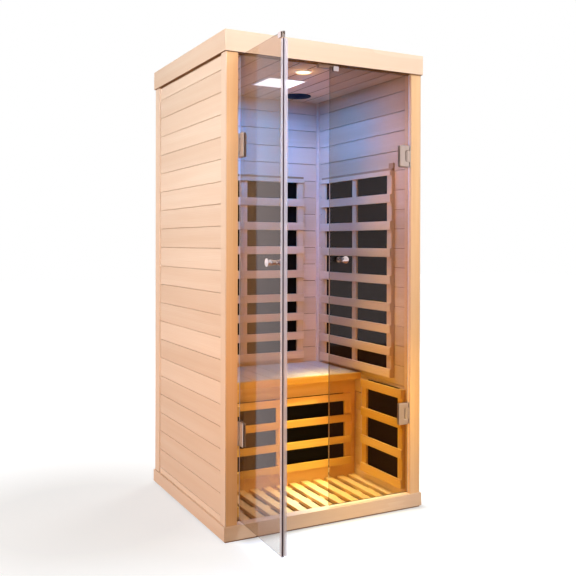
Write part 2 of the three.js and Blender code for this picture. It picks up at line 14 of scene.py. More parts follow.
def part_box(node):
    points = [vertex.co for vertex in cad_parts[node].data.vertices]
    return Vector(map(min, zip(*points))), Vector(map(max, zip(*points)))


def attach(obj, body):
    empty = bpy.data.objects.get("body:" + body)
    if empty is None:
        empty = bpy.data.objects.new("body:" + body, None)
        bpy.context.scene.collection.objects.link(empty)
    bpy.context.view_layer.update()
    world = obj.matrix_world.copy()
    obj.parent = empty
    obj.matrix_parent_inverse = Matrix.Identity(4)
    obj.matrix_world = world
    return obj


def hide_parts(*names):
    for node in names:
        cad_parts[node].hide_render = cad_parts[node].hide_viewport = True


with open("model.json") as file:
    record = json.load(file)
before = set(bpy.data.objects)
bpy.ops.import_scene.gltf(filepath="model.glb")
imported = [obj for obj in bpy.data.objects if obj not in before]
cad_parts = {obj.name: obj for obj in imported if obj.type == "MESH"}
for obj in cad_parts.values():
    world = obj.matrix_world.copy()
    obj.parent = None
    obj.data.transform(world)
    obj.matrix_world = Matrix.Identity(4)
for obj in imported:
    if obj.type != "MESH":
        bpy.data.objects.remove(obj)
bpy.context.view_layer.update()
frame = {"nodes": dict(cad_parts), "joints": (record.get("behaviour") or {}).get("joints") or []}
nodes = frame["nodes"]
draw = random.Random(11)

# Boards
BOARD_PITCH = 0.0837
TOP_JOINT = 1.760
BOARD_SKIN = 0.012
BACKING = 0.002
INNER_SKIN = BOARD_SKIN - BACKING
BOARD_GAP = 0.0014
INNER_GAP = 0.0026
BOARD_CHAMFER = 0.0016
INNER_CHAMFER = 0.0006
FASCIA_GAP = 0.007
POST_GAP = 0.004
COVER_STRIP = 0.004
STUD_WIDTH = 0.040
STUD_INSET = 0.090
EASED_EDGE = 0.0012
SLAT_EDGE = 0.0016
SMALL_EDGE = 0.0008
FINE_EDGE = 0.0004
PAD_INSET = 0.006
PAD_HEIGHT = 0.006

# Roof, ceiling and lamps
STOP_GAP = 0.004
STOP_HEIGHT = 0.004
STOP_DEPTH = 0.014
ROOF_EDGE = 0.0005
CEILING_EDGE = 0.0003
CEILING_TONES = 16
EDGE_STRIP = 0.002
GROOVE_START = 0.0004
LAMP_EDGE = 0.0006
DIFFUSER_BORDER = 0.007
DIFFUSER_DROP = 0.0006
DIFFUSER_DEPTH = 0.001

# Shares of the lens's radius and height
LENS_PROFILE = [(1.0, 0.0), (1.0, 0.6), (0.8, 0.85), (0.4, 1.0)]

# Speaker
SPEAKER_SIDES = 64
SPEAKER_EDGE = 0.0003
SPEAKER_FLANGE = 0.010
SPEAKER_RIM = 0.003
SPEAKER_CREST = 0.0045
SPEAKER_SEAT = 0.004
SPEAKER_BASKET = 0.014
SPEAKER_RINGS = 7
RING_WIDTH = 0.0022
RING_STEP = 0.0012

# Heater guards
STILE_WIDTH = 0.035
STILE_DEPTH = 0.016
HEATER_THICKNESS = 0.006
WALL_SLAT = 0.038
WALL_TOP_SLAT = 0.020
WALL_CELLS = [0.057] * 3 + [0.080] * 5
RAISED_STILE = 0.034
TOP_BATTEN = 0.011
CALF_SLAT = 0.038
CALF_CELLS = [0.089] * 3
BENCH_SLAT = 0.033
BENCH_CELLS = [0.065] * 3

# Floor and bench
FLOOR_SLAT = 0.036
FLOOR_SLATS = 13
FLOOR_RAIL = 0.034
FLOOR_BATTEN = 0.040
FLOOR_BATTEN_HEIGHT = 0.010
SEAT_PLANKS = 9
SEAT_NOSING = 0.018
NOSING_EDGE = 0.002
RISER_THICKNESS = 0.018
CLEAT_WIDTH = 0.025
CLEAT_HEIGHT = 0.040

# Doors
HAND = {"left": -1, "right": 1}
OPEN_ANGLE = math.radians(92)
CLAMP_CHAMFER = 0.0034
GLASS_CHAMFER = 0.0009
GLASS_CLEARANCE = 0.0003
SEAL_THICKNESS = 0.002
# The share of the seal's web in front of its dark strip of painted shade
SEAL_SHADE_SHARE = 0.3

# Knobs: a stem's steps are radii and heights off the glass, and a pull's end steps are radii and depths
# below its end. The inside knob's rim steps are measured in from its own radius instead.
KNOB_SIDES = 48
KNOB_STUD = 0.0050
KNOB_NECK = 0.0085
KNOB_BULB = 0.0110
KNOB_FACE = 0.0145
PULL_STEM = [(KNOB_STUD, -0.0162), (KNOB_STUD, -0.0005), (KNOB_NECK, 0.0), (KNOB_NECK, 0.005)]
PULL_STEM += [(0.0093, 0.009), (0.0105, 0.0135), (KNOB_BULB, 0.018), (0.0106, 0.0225), (0.0095, 0.0265)]
PULL_END = [(KNOB_NECK, 0.0045), (KNOB_FACE - 0.0005, 0.0044), (KNOB_FACE, 0.0038), (KNOB_FACE, 0.0030)]
PULL_END += [(KNOB_FACE * 0.93, 0.0020), (KNOB_FACE * 0.75, 0.0010), (KNOB_FACE * 0.4, 0.0002)]
PULL_END.append((0.0015, 0.0))
INSIDE_STEM = [(KNOB_NECK, 0.0), (KNOB_NECK, 0.002), (0.0095, 0.006)]
INSIDE_RIM = [(0.0003, 0.003), (0.0, 0.0015), (0.001, 0.0), (0.003, 0.0), (0.0034, 0.0005)]
INSIDE_CENTRE = 0.002
INSIDE_HOLLOW = 0.0003

# Buttons and window
BUTTON_EDGE = 0.0007
WINDOW_INSET = 0.014
WINDOW_DEPTH = 0.001
WINDOW_RISE = 0.0006

# Camera, from the photograph's vanishing lines
FRAME_PIXELS = 576
FOCAL_PIXELS = 779.45
MIDDLE_PIXEL = (292.37, 248.38)
CAMERA_PLACE = (-1.55995, -3.08164, 1.10949)
CAMERA_YAW = math.radians(-27.64)
CAMERA_PITCH = math.radians(-0.35)
CAMERA_ROLL = math.radians(0.15)
SENSOR_WIDTH = 36.0


# Selecting and finishing meshes

EASE_ANGLE = 35
SMOOTH_ANGLE = 40
ROUND_ANGLE = 25
DOWN = (0, 0, -1)

# A face looks a way when at least this share of its normal points there
FACING = 0.9
EDGE_FACING = 0.6


def deselect_all():
    bpy.ops.object.select_all(action="DESELECT")


def make_active(piece):
    deselect_all()
    piece.select_set(True)
    bpy.context.view_layer.objects.active = piece


def add_object(name, data):
    added = bpy.data.objects.new(name, data)
    bpy.context.collection.objects.link(added)
    return added


def open_edit(piece):
    """Opens a piece in edit mode with all of it selected."""
    make_active(piece)
    bpy.ops.object.mode_set(mode="EDIT")
    bpy.ops.mesh.select_all(action="SELECT")


def close_edit():
    bpy.ops.object.mode_set(mode="OBJECT")


def apply_place(piece):
    make_active(piece)
    bpy.ops.object.transform_apply(location=True, rotation=True, scale=True)


def ease(piece, width, segments=2, angle=EASE_ANGLE):
    """Eases a piece's hard edges, as sandpaper or a router would."""
    make_active(piece)
    bevel = piece.modifiers.new("eased", "BEVEL")
    bevel.width = width
    bevel.segments = segments
    bevel.limit_method = "ANGLE"
    bevel.angle_limit = math.radians(angle)
    bpy.ops.object.modifier_apply(modifier=bevel.name)


def smooth(piece, angle=SMOOTH_ANGLE):
    make_active(piece)
    bpy.ops.object.shade_smooth_by_angle(angle=math.radians(angle))


def join_pieces(name, pieces):
    make_active(pieces[0])
    for piece in pieces[1:]:
        piece.select_set(True)
    if len(pieces) > 1:
        bpy.ops.object.join()
    pieces[0].name = name
    pieces[0].data.name = name
    return pieces[0]


def set_finishes(piece, *finishes):
    piece.data.materials.clear()
    for finish in finishes:
        piece.data.materials.append(finish)


def coat(pieces, finish):
    """Gives boards their finish before they are joined with boards of another one."""
    for piece in pieces:
        set_finishes(piece, finish)
    return pieces


def two_finishes(piece, main, other, is_other):
    """Puts a second finish on the faces that a test picks out."""
    set_finishes(piece, main, other)
    for face in piece.data.polygons:
        face.material_index = 1 if is_other(face) else 0


def finish_piece(piece, finish, replaced=(), body="cabin"):
    """Hands a piece over. Without a finish it keeps those it was given while it was made."""
    if finish:
        set_finishes(piece, finish)
    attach(piece, body)
    if replaced:
        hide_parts(*replaced)


# Boards

GRAIN_ORDER = {"x": (0, 1, 2), "y": (1, 2, 0), "z": (2, 0, 1)}
SHIFT_RANGE = 4.0


def mark_grain(board, along):
    """Keeps each point's place along, across and through the grain, moved at random for each board."""
    mesh = board.data
    order = GRAIN_ORDER[along]
    shift = [draw.uniform(-SHIFT_RANGE, SHIFT_RANGE) for _ in order]
    tone = draw.random()
    places = []
    for vertex in mesh.vertices:
        places.extend(vertex.co[axis] + move for axis, move in zip(order, shift))
    mesh.attributes.new("grain", "FLOAT_VECTOR", "POINT").data.foreach_set("vector", places)
    mesh.attributes.new("tone", "FLOAT", "POINT").data.foreach_set("value", [tone] * len(mesh.vertices))
    return board


def eased_box(low, high, edge=FINE_EDGE, segments=2):
    """A box in its place with its edges eased."""
    piece = box_piece(low, high)
    ease(piece, edge, segments)
    return piece


def box_piece(low, high):
    """A plain box in its place, the start of a board or a plate."""
    low, high = Vector(low), Vector(high)
    deselect_all()
    bpy.ops.mesh.primitive_cube_add(size=1, location=(low + high) / 2)
    piece = bpy.context.object
    piece.scale = high - low
    apply_place(piece)
    return piece


def plank(low, high, along, edge=EASED_EDGE, segments=2):
    return mark_grain(eased_box(low, high, edge, segments), along)


def plank_copy(board, move, along):
    """Another board of the same shape, with its own mesh and grain."""
    mesh = board.data.copy()
    mesh.transform(Matrix.Translation(move))
    mesh.attributes.remove(mesh.attributes["grain"])
    mesh.attributes.remove(mesh.attributes["tone"])
    return mark_grain(add_object(board.name, mesh), along)


def slat_row(low, high, count, pitch):
    """Slats that run from front to back, side by side."""
    first = plank(low, high, "y", SLAT_EDGE)
    return [first] + [plank_copy(first, Vector((pitch * index, 0, 0)), "y") for index in range(1, count)]


def layer(low, high, face_axis, face_side, start, end):
    """The part of a wall's box between two depths behind its face."""
    low, high = Vector(low), Vector(high)
    if face_side > 0:
        face = high[face_axis]
        low[face_axis] = face - end
        high[face_axis] = face - start
    else:
        face = low[face_axis]
        low[face_axis] = face + start
        high[face_axis] = face + end
    return low, high


def cladding(low, high, along, face_axis, face_side, chamfer=BOARD_CHAMFER, gap=BOARD_GAP, skin=BOARD_SKIN):
    """Level boards down a wall, from the top board to the cut one at the bottom."""
    low, high = layer(low, high, face_axis, face_side, 0, skin)
    half_gap = gap / 2
    boards = [plank((*low.xy, TOP_JOINT + half_gap), high, along, chamfer, 1)]
    whole = int((TOP_JOINT - low.z) / BOARD_PITCH)
    first_low = (*low.xy, TOP_JOINT - BOARD_PITCH + half_gap)
    first = plank(first_low, (*high.xy, TOP_JOINT - half_gap), along, chamfer, 1)
    boards.append(first)
    for index in range(1, whole):
        boards.append(plank_copy(first, Vector((0, 0, -BOARD_PITCH * index)), along))
    last_top = TOP_JOINT - BOARD_PITCH * whole - half_gap
    boards.append(plank(low, (*high.xy, last_top), along, chamfer, 1))
    return boards


def backing_sheet(low, high, face_axis, face_side, skin=BOARD_SKIN):
    """A thin sheet behind a skin of boards, which closes the gaps between them."""
    return plank(*layer(low, high, face_axis, face_side, skin, skin + BACKING), "z", BACKING / 4)


def wall_studs(low, high, width_axis, face_axis, face_side):
    """The three uprights behind an outer skin."""
    depth = high[face_axis] - low[face_axis]
    low, high = layer(low, high, face_axis, face_side, BOARD_SKIN + BACKING, depth)
    middle = (low[width_axis] + high[width_axis]) / 2
    reach = (high[width_axis] - low[width_axis]) / 2 - STUD_INSET
    studs = []
    for side in (-1, 0, 1):
        low[width_axis] = middle + side * reach - STUD_WIDTH / 2
        high[width_axis] = middle + side * reach + STUD_WIDTH / 2
        studs.append(plank(low, high, "z"))
    return studs


def mitred_frame(low, high, widths):
    """Four boards round a rectangle, each cut at its ends where it meets the next.

    widths are those of the left, right, front and back boards.
    """
    left, right, front, back = widths
    inner_low = Vector((low.x + left, low.y + front, low.z))
    inner_high = Vector((high.x - right, high.y - back, high.z))
    front_left = (low, inner_low)
    front_right = (Vector((high.x, low.y, low.z)), Vector((inner_high.x, inner_low.y, low.z)))
    back_left = (Vector((low.x, high.y, low.z)), Vector((inner_low.x, inner_high.y, low.z)))
    back_right = (high, inner_high)
    sides = [
        (low, (inner_low.x, high.y, high.z), "y", front_left, back_left),
        ((inner_high.x, low.y, low.z), high, "y", front_right, back_right),
        (low, (high.x, inner_low.y, high.z), "x", front_left, front_right),
        ((low.x, inner_high.y, low.z), high, "x", back_left, back_right),
    ]
    boards = []
    for board_low, board_high, along, *mitres in sides:
        board = box_piece(board_low, board_high)
        middle = (Vector(board_low) + Vector(board_high)) / 2
        for outer, inner in mitres:
            cut_mitre(board, outer, inner, middle)
        ease(board, EASED_EDGE)
        boards.append(mark_grain(board, along))
    return boards


def cut_mitre(board, outer, inner, keep):
    """Cuts a board along the upright plane from an outer corner to an inner one, and keeps one side."""
    line = inner - outer
    normal = Vector((line.y, -line.x, 0)).normalized()
    if (keep - outer).dot(normal) > 0:
        normal.negate()
    open_edit(board)
    bpy.ops.mesh.bisect(plane_co=outer, plane_no=normal, use_fill=True, clear_outer=True)
    close_edit()


# Copies of CAD nodes with eased edges, and turned pieces

MERGE_DISTANCE = 0.00002
FLAT_ANGLE = math.radians(1)


def merged_copy(node, name):
    """A copy of a CAD node whose loose triangles are joined into faces."""
    piece = add_object(name, nodes[node].data.copy())
    make_active(piece)
    bpy.ops.mesh.customdata_custom_splitnormals_clear()
    open_edit(piece)
    bpy.ops.mesh.remove_doubles(threshold=MERGE_DISTANCE)
    bpy.ops.mesh.dissolve_limited(angle_limit=FLAT_ANGLE)
    close_edit()
    bpy.ops.object.shade_flat()
    return piece


def eased_copy(node, name, width, segments=2, angle=EASE_ANGLE):
    piece = merged_copy(node, name)
    ease(piece, width, segments, angle)
    return piece


def dress_node(node, name, edge, finish, body="cabin"):
    """Puts a copy with eased edges in a CAD node's place."""
    finish_piece(eased_copy(node, name, edge), finish, [node], body)


def turned_piece(name, profile, place, direction, sides=KNOB_SIDES, edge=FINE_EDGE):
    """A round piece: each profile step is (radius, height), drawn up from a disc."""
    deselect_all()
    radius, height = profile[0]
    start = (0, 0, height)
    bpy.ops.mesh.primitive_circle_add(vertices=sides, radius=radius, fill_type="NGON", location=start)
    piece = bpy.context.object
    apply_place(piece)
    open_edit(piece)
    for next_radius, next_height in profile[1:]:
        rise = {"value": (0, 0, next_height - height)}
        bpy.ops.mesh.extrude_region_move(TRANSFORM_OT_translate=rise)
        share = next_radius / radius
        bpy.ops.transform.resize(value=(share, share, 1), center_override=(0, 0, next_height))
        radius, height = next_radius, next_height
    bpy.ops.mesh.select_all(action="SELECT")
    bpy.ops.mesh.normals_make_consistent(inside=False)
    close_edit()
    ease(piece, edge, 2, ROUND_ANGLE)
    piece.rotation_euler = Vector(direction).to_track_quat("Z", "Y").to_euler()
    piece.location = place
    apply_place(piece)
    smooth(piece)
    return join_pieces(name, [piece])


# Material helpers

# A colour Mix node's sockets, by number because its names repeat
MIX_FACTOR = 0
MIX_FIRST = 6
MIX_SECOND = 7
MIX_RESULT = 2


def set_inputs(node, inputs):
    """Gives a node's inputs their values, or links them to another node's outputs."""
    for name, value in inputs.items():
        if isinstance(value, bpy.types.NodeSocket):
            node.id_data.links.new(value, node.inputs[name])
        else:
            node.inputs[name].default_value = value


def add_node(tree, kind, inputs=None, **settings):
    node = tree.nodes.new(kind)
    for key, value in settings.items():
        setattr(node, key, value)
    set_inputs(node, inputs or {})
    return node


def new_material(name):
    material = bpy.data.materials.new(name)
    material.use_nodes = True
    tree = material.node_tree
    return material, tree, tree.nodes["Principled BSDF"]


def piece_place(tree):
    return add_node(tree, "ShaderNodeTexCoord").outputs["Object"]


def scaled_place(tree, place, scale):
    return add_node(tree, "ShaderNodeMapping", {"Vector": place, "Scale": scale}).outputs["Vector"]


def attribute(tree, name, output):
    return add_node(tree, "ShaderNodeAttribute", attribute_name=name).outputs[output]


def noise(tree, place, scale, detail, roughness=0.6, distortion=0.0):
    node = add_node(tree, "ShaderNodeTexNoise", {"Vector": place, "Scale": scale, "Detail": detail})
    set_inputs(node, {"Roughness": roughness, "Distortion": distortion})
    return node.outputs["Fac"]


def spread(tree, value, low, high, from_low=0.0, from_high=1.0):
    node = add_node(tree, "ShaderNodeMapRange", {"Value": value, "To Min": low, "To Max": high})
    set_inputs(node, {"From Min": from_low, "From Max": from_high})
    return node.outputs["Result"]


def opaque(colour):
    """A colour as a node's input takes it; a link stays as it is."""
    return colour if isinstance(colour, bpy.types.NodeSocket) else (*colour, 1)


def mix_colour(tree, factor, first, second):
    inputs = {MIX_FACTOR: factor, MIX_FIRST: opaque(first), MIX_SECOND: opaque(second)}
    return add_node(tree, "ShaderNodeMix", inputs, data_type="RGBA").outputs[MIX_RESULT]


def combine(tree, operation, first, second, clamp=False):
    inputs = {0: first, 1: second}
    return add_node(tree, "ShaderNodeMath", inputs, operation=operation, use_clamp=clamp).outputs[0]


def vector_step(tree, operation, *inputs):
    return add_node(tree, "ShaderNodeVectorMath", dict(enumerate(inputs)), operation=operation).outputs


def by_distance(tree, place, centre, reach, near=0.0, far=1.0):
    """A value that goes from near to far as the distance from a point grows over its reach."""
    return spread(tree, vector_step(tree, "DISTANCE", place, centre)["Value"], near, far, *reach)


def blend_shaders(tree, factor, first, second):
    return add_node(tree, "ShaderNodeMixShader", {0: factor, 1: first, 2: second}).outputs[0]


def bump(tree, height, strength, distance):
    inputs = {"Height": height, "Strength": strength, "Distance": distance}
    return add_node(tree, "ShaderNodeBump", inputs).outputs["Normal"]


# Finishes

FIBRE_SCALE = (3.0, 170.0, 170.0)
RING_SCALE = (0.55, 17.0, 9.0)
BAND_SCALE = (1.1, 26.0, 12.0)
LAMP_STRENGTH = 1.5
RIM_START = 0.45
GLASS_TINT = (0.46, 0.35, 0.26)


def wood(name, light, dark, tone_low=0.92, tone_high=1.05):
    """Straight-grained softwood: soft growth rings, fine fibres and a tone of its own for each board."""
    material, tree, shader = new_material(name)
    grain = attribute(tree, "grain", "Vector")
    board_tone = attribute(tree, "tone", "Fac")
    fibres = noise(tree, scaled_place(tree, grain, FIBRE_SCALE), 1.0, 6.0, 0.65)
    rings = noise(tree, scaled_place(tree, grain, RING_SCALE), 1.0, 3.0, 0.5, 0.6)
    bands = add_node(tree, "ShaderNodeTexWave", wave_type="BANDS", bands_direction="Y", wave_profile="SAW")
    set_inputs(bands, {"Vector": scaled_place(tree, grain, BAND_SCALE), "Scale": 1.9})
    set_inputs(bands, {"Distortion": 5.0, "Detail": 2.0, "Detail Scale": 0.6})
    streaks = spread(tree, rings, 0.0, 0.75, 0.35, 0.68)
    late_wood = spread(tree, bands.outputs["Fac"], 0.0, 0.42)
    fine = spread(tree, fibres, 0.0, 0.32, 0.4, 0.7)
    colour = light
    for share in (streaks, late_wood, fine):
        colour = mix_colour(tree, share, colour, dark)
    tone = add_node(tree, "ShaderNodeHueSaturation", {
        "Color": colour,
        "Value": spread(tree, board_tone, tone_low, tone_high),
        "Saturation": spread(tree, board_tone, 1.06, 0.94),
    })
    set_inputs(shader, {
        "Base Color": tone.outputs["Color"],
        "Roughness": spread(tree, fibres, 0.46, 0.62),
        "Specular IOR Level": 0.3,
        "Normal": bump(tree, fibres, 0.18, 0.0006),
    })
    return material


def plain_finish(name, colour, roughness, metallic=0.0, scale=60.0, change=0.12, grain=(1, 1, 1), shine=0.5):
    """A made surface whose colour and gloss change a little over the piece."""
    material, tree, shader = new_material(name)
    marks = noise(tree, scaled_place(tree, piece_place(tree), grain), scale, 4.0)
    dark = [part * (1 - change) for part in colour]
    light = [min(1.0, part * (1 + change)) for part in colour]
    set_inputs(shader, {
        "Base Color": mix_colour(tree, marks, dark, light),
        "Roughness": spread(tree, marks, roughness * 0.8, min(1.0, roughness * 1.2)),
        "Metallic": metallic,
        "Specular IOR Level": shine,
        "Normal": bump(tree, marks, 0.1, 0.0001),
    })
    return material


def lamp_finish(name, colour, glow, rim=None):
    """A lit cover. A rim colour makes the downlight's glow fall off from the middle to the edge."""
    material, tree, shader = new_material(name)
    place = piece_place(tree)
    set_inputs(shader, {
        "Base Color": opaque(colour),
        "Roughness": spread(tree, noise(tree, place, 400.0, 2.0), 0.3, 0.5),
        "Emission Color": opaque(glow),
        "Emission Strength": LAMP_STRENGTH,
    })
    if rim:
        fall = by_distance(tree, place, lens_centre, (lens_radius * RIM_START, lens_radius))
        set_inputs(shader, {"Emission Color": mix_colour(tree, fall, glow, rim)})
    return material


def glass(name, tint):
    """Bronze glass. Lamps shine through it as through a tinted pane."""
    material, tree, shader = new_material(name)
    face_tint = opaque([math.sqrt(part) for part in tint])
    smears = noise(tree, piece_place(tree), 3.0, 3.0)
    set_inputs(shader, {"Base Color": face_tint, "Roughness": spread(tree, smears, 0.0, 0.012)})
    set_inputs(shader, {"Transmission Weight": 1.0, "IOR": 1.33})
    pane = add_node(tree, "ShaderNodeBsdfTransparent", {"Color": face_tint})
    rays = add_node(tree, "ShaderNodeLightPath").outputs
    lamp_rays = combine(tree, "MAXIMUM", rays["Is Shadow Ray"], rays["Is Diffuse Ray"])
    surface = blend_shaders(tree, lamp_rays, shader.outputs[0], pane.outputs[0])
    set_inputs(tree.nodes["Material Output"], {"Surface": surface})
    return material


def half_clear(name, dark, light, scale, settings, grain=(1, 1, 1)):
    """A clear edge that looks milky or dark and lets part of what is behind it through."""
    material, tree, shader = new_material(name)
    marks = noise(tree, scaled_place(tree, piece_place(tree), grain), scale, 3.0)
    set_inputs(shader, {"Base Color": mix_colour(tree, marks, dark, light), **settings})
    return material


pale_wood = wood("pale_hemlock", (0.88, 0.71, 0.59), (0.79, 0.58, 0.44))
post_wood = wood("post_hemlock", (0.90, 0.63, 0.39), (0.77, 0.47, 0.25), 0.97, 1.03)
honey_wood = wood("honey_hemlock", (0.85, 0.56, 0.18), (0.70, 0.38, 0.08))
floor_wood = wood("floor_hemlock", (0.85, 0.62, 0.34), (0.72, 0.46, 0.20))
seat_wood = wood("seat_hemlock", (0.84, 0.66, 0.48), (0.73, 0.51, 0.32))
guard_wood = wood("guard_hemlock", (0.82, 0.60, 0.42), (0.69, 0.46, 0.28))
# A brown wood for the guards' battens and ears, darkened further as painted shade of the gap they sit in
batten_brown_and_shade = wood("guard_batten", (0.46, 0.24, 0.12), (0.36, 0.17, 0.07))
inner_wood = wood("inner_hemlock", (0.80, 0.59, 0.43), (0.66, 0.44, 0.28))
# Painted shade: a dark brown put where shade falls, on the fascia's underside, the plinth's pads, the strip
# behind the doors' tops, the inner walls' backing and the ceiling's grooves
painted_shade_wood = wood("fascia_underside", (0.32, 0.15, 0.05), (0.22, 0.10, 0.03))
# Painted shade: the deck is brown plywood darkened further to stand in for the shade beneath the floor slats
deck_painted_shade = wood("deck_ply", (0.42, 0.25, 0.12), (0.30, 0.16, 0.07))

satin_steel = plain_finish("satin_nickel", (0.62, 0.54, 0.49), 0.36, 0.6, 220.0, 0.06, (1, 1, 12))
# Painted shade: a near black nickel for the clamps' side faces, standing in for their shade and dark
# reflections
painted_shade_steel = plain_finish("shaded_nickel", (0.10, 0.075, 0.075), 0.4, 0.6, 220.0, 0.06, (1, 1, 12))
chrome = plain_finish("bright_chrome", (0.78, 0.76, 0.75), 0.06, 1.0, 90.0, 0.03)
sheet_steel = plain_finish("painted_sheet", (0.34, 0.35, 0.37), 0.5, scale=500.0, change=0.08)
heater_colour = (0.0035, 0.003, 0.003)
heater_black = plain_finish("heater_laminate", heater_colour, 0.6, scale=900.0, change=0.5, shine=0.08)
cloth_colour = (0.004, 0.012, 0.034)
speaker_cloth = plain_finish("speaker_grille", cloth_colour, 0.6, scale=700.0, change=0.5, shine=0.1)

bronze_glass = glass("bronze_glass", GLASS_TINT)
edge_settings = {"Roughness": 0.25, "Alpha": 0.5}
ground_edge = half_clear("ground_glass_edge", (0.10, 0.07, 0.055), (0.16, 0.12, 0.10), 160.0, edge_settings)
# Painted highlight: a pale lavender for the panes' edges beside the hinges, standing in for the light they
# catch
painted_glint_edge = plain_finish("hinge_side_edge", (0.74, 0.70, 0.84), 0.4, scale=160.0, change=0.05)
# Painted shade: a near black for the right pane's bottom edge, standing in for the shadow gap over the sill
shaded_edge = plain_finish("shaded_glass_edge", (0.020, 0.012, 0.006), 0.4, scale=160.0, change=0.2)
seal_settings = {"Roughness": 0.2, "IOR": 1.4, "Alpha": 0.42}
seal_tints = ((0.80, 0.79, 0.95), (0.86, 0.86, 1.0))
clear_seal = half_clear("milky_seal", *seal_tints, 120.0, seal_settings, (1, 1, 0.1))
# Painted shade: a dark strip in the seal's web, standing in for the shade line along the door's free edge
seal_core = plain_finish("seal_core", (0.045, 0.030, 0.050), 0.4, scale=200.0, change=0.2, shine=0.2)

white_plastic = plain_finish("white_plastic", (0.86, 0.86, 0.87), 0.4, scale=300.0, change=0.03)
black_plastic = plain_finish("black_plastic", (0.012, 0.012, 0.014), 0.3, scale=300.0, change=0.2)
brown_plastic = plain_finish("brown_plastic", (0.38, 0.26, 0.20), 0.5, scale=300.0, change=0.1)
display_glass = plain_finish("display_window", (0.012, 0.020, 0.042), 0.08, scale=40.0, change=0.3)
led_light = lamp_finish("led_diffuser", (0.9, 0.93, 1.0), (0.86, 0.93, 1.0))
lens_low, lens_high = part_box("downlight_lens")
lens_centre = (lens_low + lens_high) / 2
lens_radius = (lens_high.x - lens_low.x) / 2
warm_light = lamp_finish("downlight_lens", (1.0, 0.90, 0.70), (1.0, 0.90, 0.62), (0.95, 0.55, 0.20))


# Base, posts and walls

def dress_base():
    low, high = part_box("base_plinth")
    deck_low, deck_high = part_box("floor_deck")
    widths = (deck_low.x - low.x, high.x - deck_high.x, deck_low.y - low.y, high.y - deck_high.y)
    boards = coat(mitred_frame(low + Vector((0, 0, PAD_HEIGHT)), high, widths), pale_wood)
    pad_low = low + Vector((PAD_INSET, PAD_INSET, 0))
    pad_high = Vector((high.x - PAD_INSET, high.y - PAD_INSET, low.z + PAD_HEIGHT))
    # Painted shade: the pads under the plinth are dark brown, standing in for the contact shadow along its
    # bottom edge
    pads = coat(mitred_frame(pad_low, pad_high, [width / 2 for width in widths]), painted_shade_wood)
    finish_piece(join_pieces("plinth_boards", boards + pads), None, ["base_plinth"])
    # Painted shade: the deck's dark brown stands in for the shade under the floor slats
    deck = plank(deck_low, deck_high, "x")
    finish_piece(join_pieces("deck_board", [deck]), deck_painted_shade, ["floor_deck"])


def dress_posts():
    """Plain back posts, and front posts with a pale strip that covers their outer side."""
    for side in HAND:
        node = f"{side}_back_post"
        back = plank(*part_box(node), "z")
        finish_piece(join_pieces(f"{side}_back_upright", [back]), pale_wood, [node])
        node = f"{side}_front_post"
        low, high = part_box(node)
        seam = low.x + COVER_STRIP if side == "left" else high.x - COVER_STRIP
        left_part = (low, (seam, high.y, high.z))
        right_part = ((seam, low.y, low.z), high)
        post, strip = (right_part, left_part) if side == "left" else (left_part, right_part)
        boards = coat([plank(*post, "z")], post_wood)
        boards += coat([plank(*strip, "z", COVER_STRIP / 4)], pale_wood)
        finish_piece(join_pieces(f"{side}_front_upright", boards), None, [node])


def shadow_gaps(low, high, along):
    """Draws an outer skin back from the fascia above it and from the back posts beside it."""
    low, high = low.copy(), high.copy()
    high.z -= FASCIA_GAP
    high["xyz".index(along)] -= POST_GAP
    if along == "x":
        low.x += POST_GAP
    return low, high


def dress_walls():
    walls = {"left": ("y", 0, -1), "right": ("y", 0, 1), "back": ("x", 1, 1)}
    for name, (along, face_axis, face_side) in walls.items():
        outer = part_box(f"{name}_outer_boards")
        boards = cladding(*shadow_gaps(*outer, along), along, face_axis, face_side)
        boards.append(backing_sheet(*outer, face_axis, face_side))
        boards += wall_studs(*outer, "xyz".index(along), face_axis, face_side)
        piece = join_pieces(f"{name}_outer_cladding", boards)
        finish_piece(piece, pale_wood, [f"{name}_outer_boards"])
        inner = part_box(f"{name}_inner_boards")
        boards = cladding(*inner, along, face_axis, -face_side, INNER_CHAMFER, INNER_GAP, INNER_SKIN)
        coat(boards, inner_wood)
        # Painted shade: the sheet behind the inner boards is dark brown, so the gaps between them look
        # shaded
        boards += coat([backing_sheet(*inner, face_axis, -face_side, INNER_SKIN)], painted_shade_wood)
        piece = join_pieces(f"{name}_inner_cladding", boards)
        finish_piece(piece, None, [f"{name}_inner_boards"])


# Roof, ceiling and lamps

def dress_roof():
    low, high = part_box("roof_fascia")
    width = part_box("roof_cover")[0].x - low.x
    fascia = join_pieces("fascia_boards", mitred_frame(low, high, [width] * 4))
    # Painted shade: the fascia's downward faces are dark brown, standing in for the shade under its overhang
    two_finishes(fascia, pale_wood, painted_shade_wood, lambda face: face.normal.z < -FACING)
    finish_piece(fascia, None, ["roof_fascia"])
    dress_door_stop()
    cover = mark_grain(eased_copy("roof_cover", "roof_sheet", ROOF_EDGE, 1), "x")
    finish_piece(cover, inner_wood, ["roof_cover"])
    ceiling = mark_grain(eased_copy("ceiling_boards", "ceiling_cladding", CEILING_EDGE, 1), "y")
    tone_by_board(ceiling)
    shade_grooves(ceiling)
    finish_piece(ceiling, None, ["ceiling_boards"])


def dress_door_stop():
    """A strip under the ceiling, behind the doors' top edges, on both sides of the catch, dark brown as
    painted shade of the gap under the fascia.
    """
    catch_low, catch_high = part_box("door_catch")
    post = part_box("right_front_post")[0].x
    strips = []
    for start, end in ((-post, catch_low.x), (catch_high.x, post)):
        low = (start + STOP_GAP, catch_low.y, catch_high.z - STOP_HEIGHT)
        strips.append(plank(low, (end - STOP_GAP, catch_low.y + STOP_DEPTH, catch_high.z), "x"))
    finish_piece(join_pieces("door_stop_strip", strips), painted_shade_wood)


